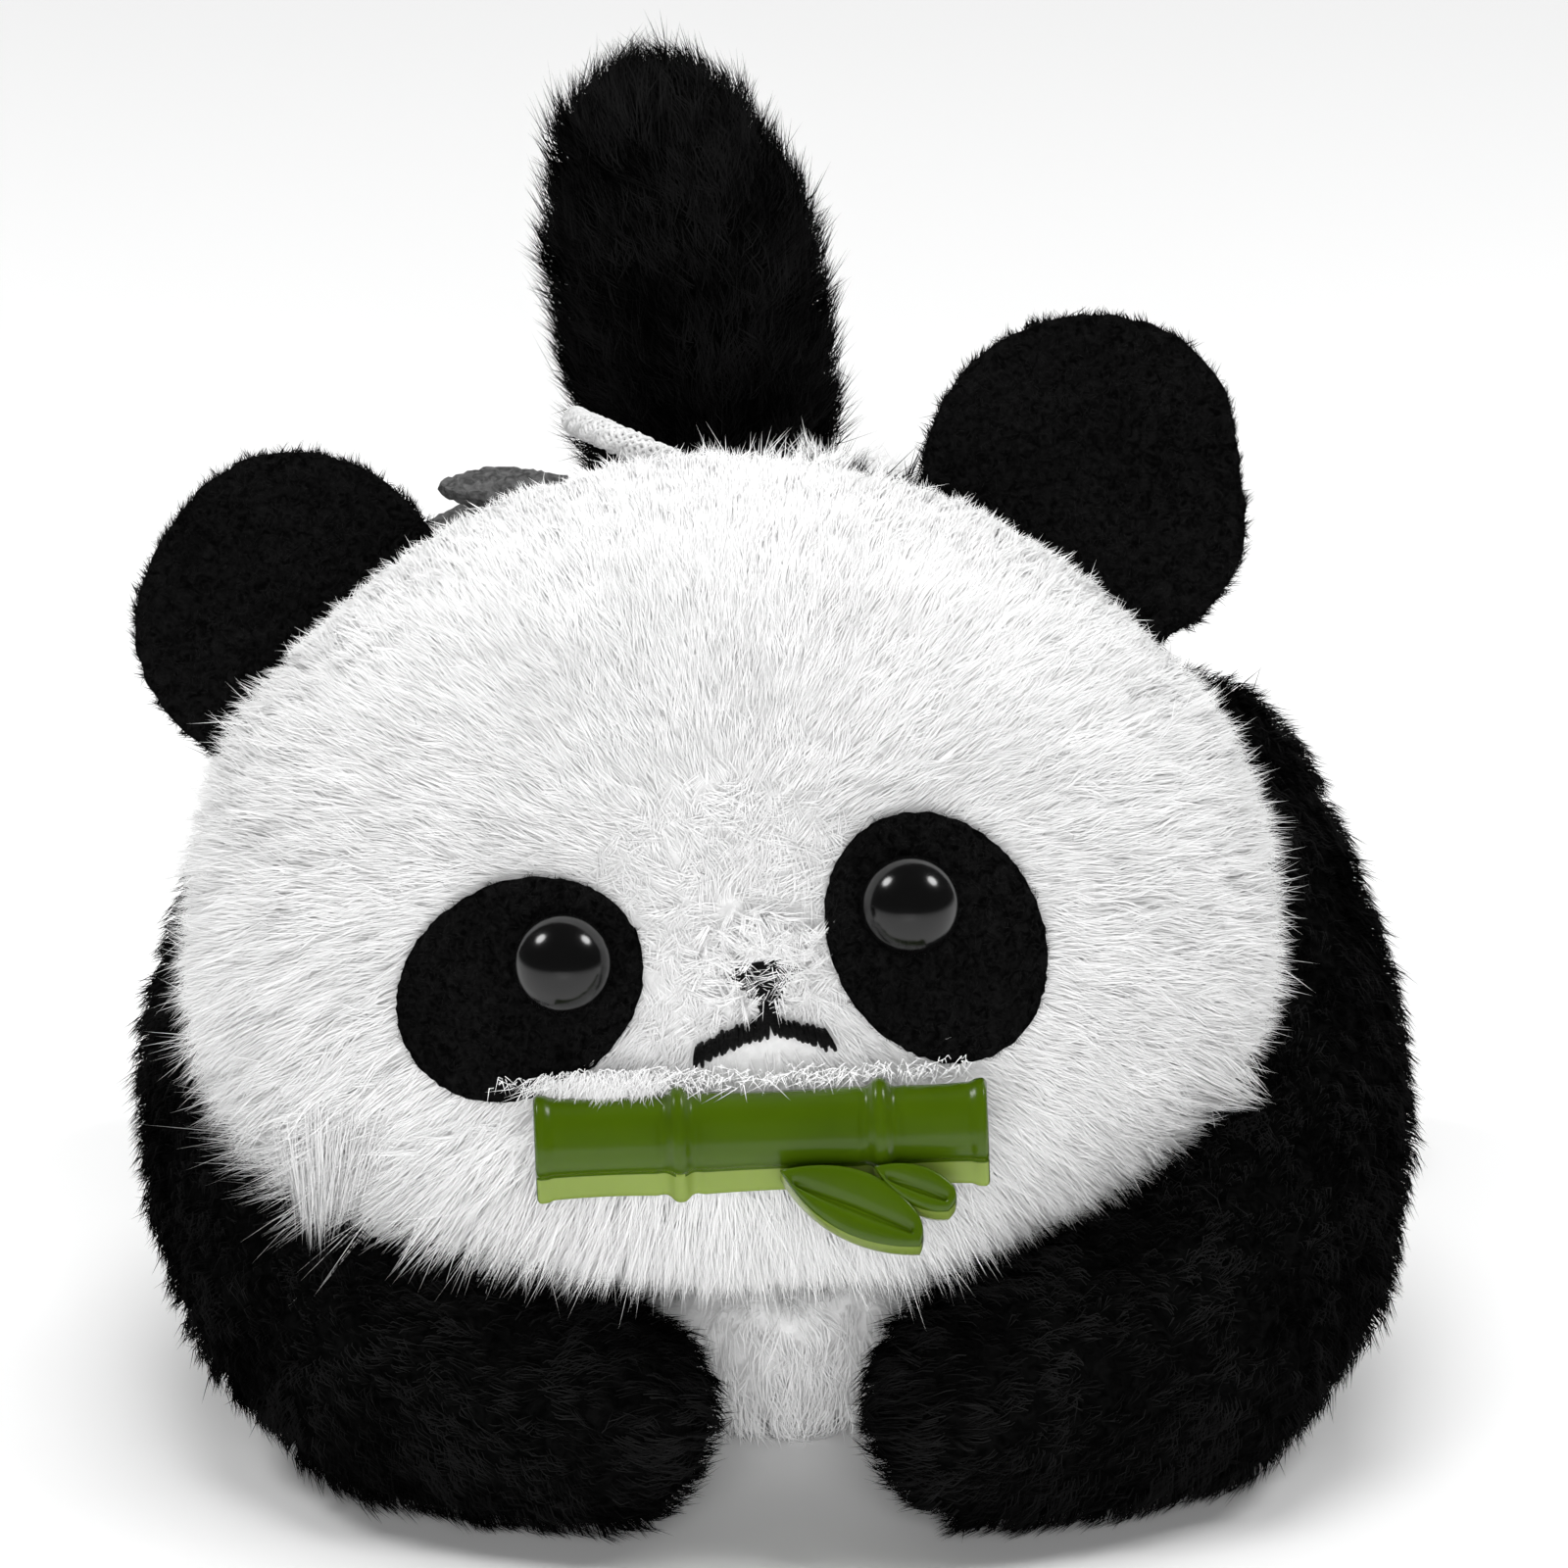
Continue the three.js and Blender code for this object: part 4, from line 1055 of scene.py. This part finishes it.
def make_ear(ear, seed):
    """A felt front on a padded plush back, each with its own pile."""
    foot, turn, centre = ear_frame(ear)
    side = ear["side"]
    body = f"ear_{side}"
    half = (FELT + 0.3 + EAR_PLUSH) / 2
    steps = 120
    rng = np.random.default_rng(seed)
    ragged = 1 + np.repeat(rng.normal(0, 0.006, steps // 2), 2)[:, None]
    spine = np.array([centre[0], max(centre[2], 3.0)])

    def plate(profile, rough):
        rings = []
        for share, depth in profile:
            outline = ear_outline(ear, centre, steps)
            flat = spine + (outline - spine) * share * (ragged if rough and share > 0.95 else 1)
            rings.append(np.stack([flat[:, 0], 0 * flat[:, 0] + depth, flat[:, 1]], axis=1))
        return np.array(rings)

    def cupped(points):
        """The ear is pushed in a little at its middle, in front."""
        away = np.linalg.norm(points[:, [0, 2]] - spine, axis=1) / ear["radius"]
        return points + np.stack([0 * away, 0.8 * np.exp(-((away / 0.6) ** 2)), 0 * away], axis=1)

    def in_place(points):
        return head_place(cupped(points) @ turn.T + foot)

    felt_rings = plate([(1.0, FELT - half), (1.0, 0.25 - half), (0.985, 0.05 - half), (0.93, -half),
                        (0.75, -half), (0.5, -half), (0.25, -half), (0.05, -half)], True)
    points, faces = capped_rings(felt_rings, (spine[0], FELT - half, spine[1]), (spine[0], -half, spine[1]))
    felt = make_mesh(f"ear_front_{side}", in_place(points), faces, [BLACK_FELT])
    stand_for(felt, f"ear_felt_{side}", body)

    inner, outer = 0.2 - half + FELT, half + 0.35
    back_profile = [(0.06, inner), (0.9, inner)]
    for angle in np.linspace(0, math.pi, 15)[1:-1]:
        depth = half - 0.4 - (EAR_PLUSH - 1.0) * (0.5 + 0.5 * math.cos(angle))
        back_profile.append((0.86 + 0.11 * math.sin(angle), depth))
    back_profile += [(0.7, half + 0.1), (0.4, half + 0.3), (0.06, outer)]
    rings = plate(back_profile, False)[:, ::-1]
    points, faces = capped_rings(rings, (spine[0], inner, spine[1]), (spine[0], outer, spine[1]))
    back = make_mesh(f"ear_back_{side}", in_place(points), faces, [BLACK_CLOTH])
    stand_for(back, f"ear_plush_{side}", body)

    felt_fuzz(f"ear_fuzz_{side}", body, surface_of(felt), 9000, seed + 5)
    places, normals = scatter(surface_of(back), int(EAR_CLUMPS * FUR_SHARE), rng)
    chosen = normals @ head_direction([0, -1, 0]) < 0.35
    places, normals = places[chosen], normals[chosen]
    middle = head_place(np.array([[spine[0], 0, spine[1]]]) @ turn.T + foot)[0]
    comb = unit(places - middle) + np.array([0, 0.2, 0.25])
    grow_fur(f"ear_fur_{side}", body, places, normals, comb, BLACK_STRANDS, "black_plush", seed=seed + 9,
             length=1.5, lean=58, strands=8, tousle=20, clump=0.5)


# ---------- Felt leaves and hanging loop ----------
def felt_leaf(node, leaf):
    """A pointed leaf cut from felt, curling up a little along its edges."""
    run = np.array(leaf["tip"]) - leaf["root"]
    length = np.linalg.norm(run)
    share = np.linspace(0, 1, 36)
    rng = np.random.default_rng(int(length * 10))
    half = leaf["width"] * 0.5 * np.sin(math.pi * share ** 1.15) ** 0.95
    half = np.maximum(half + rng.normal(0, 0.07, len(share)), 0.08)
    curl = 0.5 * np.sin(math.pi * share * 1.1)
    across = np.array([1.0, 0.6, 0.2, -0.2, -0.6, -1.0])
    rings = []
    for s, h, c in zip(share[1:-1], half[1:-1], curl[1:-1]):
        top = [(s * length, a * h, FELT + c * a * a) for a in across]
        bottom = [(s * length, a * h, c * a * a) for a in across[::-1]]
        rings.append(top + bottom)
    points, faces = capped_rings(np.array(rings)[:, ::-1], (0, 0, FELT / 2), (length, 0, FELT / 2))
    slope = np.array(Euler((FELT_LEAF_SLOPE, 0, 0)).to_matrix())
    turn = np.array(Euler((0, math.atan2(-run[2], run[0]), 0)).to_matrix())
    points = points @ slope.T @ turn.T + leaf["root"]
    piece = make_mesh(node.replace("felt_leaf", "leaf_felt"), head_place(points), faces, [GREY_FELT])
    bevel = piece.modifiers.new("edge", "BEVEL")
    bevel.width = 0.15 * MM
    bevel.segments = 2
    stand_for(piece, node, "head")


def smooth_route(points, steps):
    """A smooth curve through points, as that many points."""
    points = np.asarray(points, float)
    padded = np.concatenate([[2 * points[0] - points[1]], points, [2 * points[-1] - points[-2]]])
    places = np.linspace(0, len(points) - 1, steps)
    i = np.minimum(places.astype(int), len(points) - 2)
    t = (places - i)[:, None]
    a, b, c, d = padded[i], padded[i + 1], padded[i + 2], padded[i + 3]
    square, cube = 2 * a - 5 * b + 4 * c - d, 3 * b - a - 3 * c + d
    return 0.5 * (2 * b + (c - a) * t + square * t ** 2 + cube * t ** 3)


def make_cord():
    """The hanging loop: yarns braided both ways round a core, on the cord's route."""
    steps = 420
    route = smooth_route(CORD_ROUTE, steps) / MM
    travelled = np.concatenate([[0], np.cumsum(np.linalg.norm(np.diff(route, axis=0), axis=1))])
    along = unit(np.gradient(route, axis=0))
    side = unit(np.cross(along, [0.1, 0.2, 1.0]))
    other = np.cross(along, side)
    tubes = [thread_tube(route[::4], 0.72, 12)]
    for yarn in range(CORD_YARNS):
        way = 1 if yarn % 2 else -1
        phase = 2 * math.pi * (yarn // 2) / (CORD_YARNS // 2)
        turns = travelled / CORD_PITCH * 2 * math.pi
        angle = phase + way * turns
        weave = np.sin(turns * CORD_YARNS / 4 + phase * 2 + (math.pi / 2) * way)
        radius = 0.80 + 0.10 * weave
        path = route + radius[:, None] * (np.cos(angle)[:, None] * side + np.sin(angle)[:, None] * other)
        tubes.append(thread_tube(path[::2], 0.21, 6))
    piece = make_mesh("hanging_cord", *merged(tubes), [CORD])
    stand_for(piece, "hang_loop", "head")


# ---------- Body, limbs and tail ----------
def body_panel(skin, place, low, high, material):
    """The part of the body's skin between two seams, as one panel of cloth."""
    piece = skin.copy()
    piece.data = skin.data.copy()
    piece.name = f"{place}_plush"
    bpy.context.scene.collection.objects.link(piece)
    bm = bmesh.new()
    bm.from_mesh(piece.data)
    for seam, way in ((low, -1), (high, 1)):  # way says which side of the seam is cut off
        if seam is not None:
            geometry = bm.verts[:] + bm.edges[:] + bm.faces[:]
            bmesh.ops.bisect_plane(bm, geom=geometry, plane_co=(0, seam * MM, 0), plane_no=(0, way, 0),
                                   clear_outer=True)
    bmesh.ops.solidify(bm, geom=bm.faces, thickness=CLOTH * MM)
    bm.to_mesh(piece.data)
    bm.free()
    piece.data.materials.append(material)
    stand_for(piece, f"{place}_panel", "body")


def cover_rims(skin, filling, spare=0.65, reach=1.7):
    """Lifts a skin wherever a sharp rim of its filling would come through it."""
    places, _ = scatter(surface_of(filling), 40000, np.random.default_rng(5))
    tree = tree_of(skin)
    points, normals, _ = surface_of(skin)
    corners = KDTree(len(points))
    for number, point in enumerate(points):
        corners.insert(point, number)
    corners.balance()
    lift = np.zeros(len(points))
    for place in places:
        nearest, normal, _, _ = tree.find_nearest(Vector(place))
        excess = (Vector(place) - nearest).dot(normal) + spare
        if excess > 0:
            for _, number, _ in corners.find_range(nearest, reach):
                lift[number] = max(lift[number], excess)
    points += normals * lift[:, None]
    skin.data.vertices.foreach_set("co", (points * MM).ravel())


def sleeve(node, body):
    """The smooth plush sleeve of a limb or the tail, around its filling."""
    grow = TAIL_GROW if "tail" in node else SKIN_GROW
    filling, name = node.replace("skin", "stuffing"), node.replace("skin", "sleeve")
    piece = smoothed_copy(filling, name, LIMB_VOXEL, grow)
    piece.data.materials.append(BLACK_CLOTH)
    stand_for(piece, node, body)
    return piece


# ---------- Fur of the body and the limbs ----------
def head_room(places, gap):
    """Which places stay that far outside the head."""
    local = into_head(places)
    reach = np.linalg.norm(local, axis=1)
    return reach * (1 - 1 / np.sqrt(head_measure(local))) > gap


def body_fur(skin, limbs):
    """The pile of the body's three panels, combed backwards and down, clear of the head and the limbs."""
    rng = np.random.default_rng(31)
    places, normals = scatter(surface_of(skin), int(BODY_CLUMPS * FUR_SHARE), rng)
    trees = [tree_of(limb) for limb in limbs.values()]
    keep = head_room(places + normals, 0.4) & (places[:, 2] > ABOVE_FLOOR)
    places, normals = places[keep], normals[keep]
    keep = clear_of(places, normals, trees, 1.0)
    places, normals = places[keep], normals[keep]
    comb = np.stack([places[:, 0] * 0.02, 0.8 + 0 * places[:, 0], -0.5 + 0 * places[:, 0]], axis=1)
    chest = places[:, 1] < CHEST_SEAM_Y
    comb[chest] = (0, -0.5, -1)
    rump = places[:, 1] > RUMP_SEAM_Y
    regions = [("chest_fur", chest, WHITE_STRANDS, "white_plush"),
               ("shoulder_fur", ~chest & ~rump, BLACK_STRANDS, "black_plush"),
               ("rump_fur", rump, WHITE_STRANDS, "white_plush")]
    for number, (name, chosen, shades, slot) in enumerate(regions):
        grow_fur(name, "body", places[chosen], normals[chosen], comb[chosen], shades, slot,
                 seed=40 + number, length=3.6, lean=48, strands=7)


LIMB_ROUTES = {  # down the middle of each limb, from its joint
    "arm_left": [(-28, 14.8, 35), (-34, -5.2, 22), (-27, -30.2, 11.3), (-12, -39.1, 8.9),
                 (-6, -41.5, 8.9)],
    "arm_right": [(29, 14.8, 35.5), (34.8, -3.2, 23.7), (30.6, -27.2, 12), (15.7, -38.1, 9.3),
                  (8, -40.5, 9.3)],
    "leg_left": [(-21, 32.8, 11.8), (-33, 42.8, 10.2), (-40, 49, 9)],
    "leg_right": [(23, 32.8, 11.8), (35, 42.8, 10.2), (42, 49, 9)],
    "tail": [(-3.5, 38.8, 53), (-5, 40.3, 63), (-6.6, 41.3, 71), (-8.4, 41.6, 78), (-10, 41.7, 85)],
}
LIMB_FUR = {
    "arm": {"count": 5700, "length": 2.3, "lean": 54, "tousle": 16},
    "leg": {"count": 1900, "length": 2.4, "lean": 52, "tousle": 20},
    "tail": {"count": 3200, "length": 3.6, "lean": 52, "tousle": 20},
}


def limb_fur(body, limb):
    """The limb's pile, combed from its root to its end."""
    style = dict(LIMB_FUR[body.split("_")[0]])
    rng = np.random.default_rng(len(body) * 7 + ord(body[-1]))
    places, normals = scatter(surface_of(limb), int(style.pop("count") * FUR_SHARE), rng)
    keep = head_room(places + normals, 0.3) & (places[:, 2] > ABOVE_FLOOR)
    places, normals = places[keep], normals[keep]
    route = smooth_route(LIMB_ROUTES[body], 24)
    ways = unit(np.gradient(route, axis=0))
    distance = np.linalg.norm(places[:, None] - route[None], axis=2)
    weight = np.exp(-((distance - distance.min(1, keepdims=True)) / 3.0))
    comb = (weight[:, :, None] * ways[None]).sum(1)
    grow_fur(f"{body}_fur", body, places, normals, comb, BLACK_STRANDS, "black_plush", seed=50 + len(body),
             strands=8, **style)


# ---------- Hidden pieces ----------
def keep_inner_nodes():
    """The fillings and washers keep their CAD meshes and get materials of their own."""
    for name, node in frame["nodes"].items():
        if "stuffing" in name:
            finish = FILLING
        elif "washer" in name:
            finish = WASHER
        else:
            continue
        for slot in node.material_slots:
            slot.material = finish


# ---------- Floor and light ----------
def make_light(name, place, target, size, power, reflected):
    """A soft round light, turned towards the target; fills don't show as highlights."""
    light = bpy.data.lights.new(name, "AREA")
    light.shape = "DISK"
    light.size = size
    light.energy = power
    holder = bpy.data.objects.new(name, light)
    holder.location = place
    aim = Vector(target) - Vector(place)
    holder.rotation_euler = aim.to_track_quat("-Z", "Y").to_euler()
    holder.visible_glossy = reflected
    bpy.context.scene.collection.objects.link(holder)


def make_stage():
    corners = np.array([(-1, -1, 0), (1, -1, 0), (1, 1, 0), (-1, 1, 0)]) * FLOOR_REACH
    floor = make_mesh("floor", corners, [(0, 1, 2, 3)], [material_of("floor", grey(0.98), 0.8)])
    world = bpy.data.worlds.new("world")
    bpy.context.scene.world = world
    world.use_nodes = True
    background = world.node_tree.nodes["Background"]
    background.inputs["Color"].default_value = (1, 1, 1, 1)
    background.inputs["Strength"].default_value = 0.06
    middle = (0, 0, 0.04)
    for side, x in (("left", -0.36), ("right", 0.36)):
        make_light(f"key_{side}", (x, 0.02, 0.44), middle, 0.17, 1.1, True)
    make_light("top_fill", (0.0, 0.1, 1.2), middle, 0.9, 9.6, False)
    make_light("front_fill", (0.0, -1.1, 0.3), middle, 0.7, 9.0, False)
    make_light("chest_fill", (0.0, -0.3, 0.03), (0, 0, 0.012), 0.1, 0.09, False)
    bpy.context.scene.view_settings.view_transform = "Standard"


# ---------- The whole toy ----------
def main():
    make_camera()
    make_cord()
    make_head()
    make_eyes()
    make_nose_and_mouth()
    make_bamboo()
    for number, ear in enumerate(EARS):
        make_ear(ear, 100 + 20 * number)
    for node, leaf in FELT_LEAVES.items():
        felt_leaf(node, leaf)

    skin = smoothed_copy("body_stuffing", "body_skin", BODY_VOXEL, SKIN_GROW)
    cover_rims(skin, frame["nodes"]["body_stuffing"])
    limbs = {}
    for part in ("arm_skin_left", "arm_skin_right", "leg_skin_left", "leg_skin_right", "tail_skin"):
        body = part.replace("_skin", "")
        limbs[body] = sleeve(part, body)
    body_panel(skin, "chest", None, CHEST_SEAM_Y, WHITE_CLOTH)
    body_panel(skin, "shoulder", CHEST_SEAM_Y, RUMP_SEAM_Y, BLACK_CLOTH)
    body_panel(skin, "rump", RUMP_SEAM_Y, None, WHITE_CLOTH)
    head_fur()
    body_fur(skin, limbs)
    bpy.data.objects.remove(skin)
    for body, limb in limbs.items():
        limb_fur(body, limb)
    keep_inner_nodes()
    make_stage()


main()
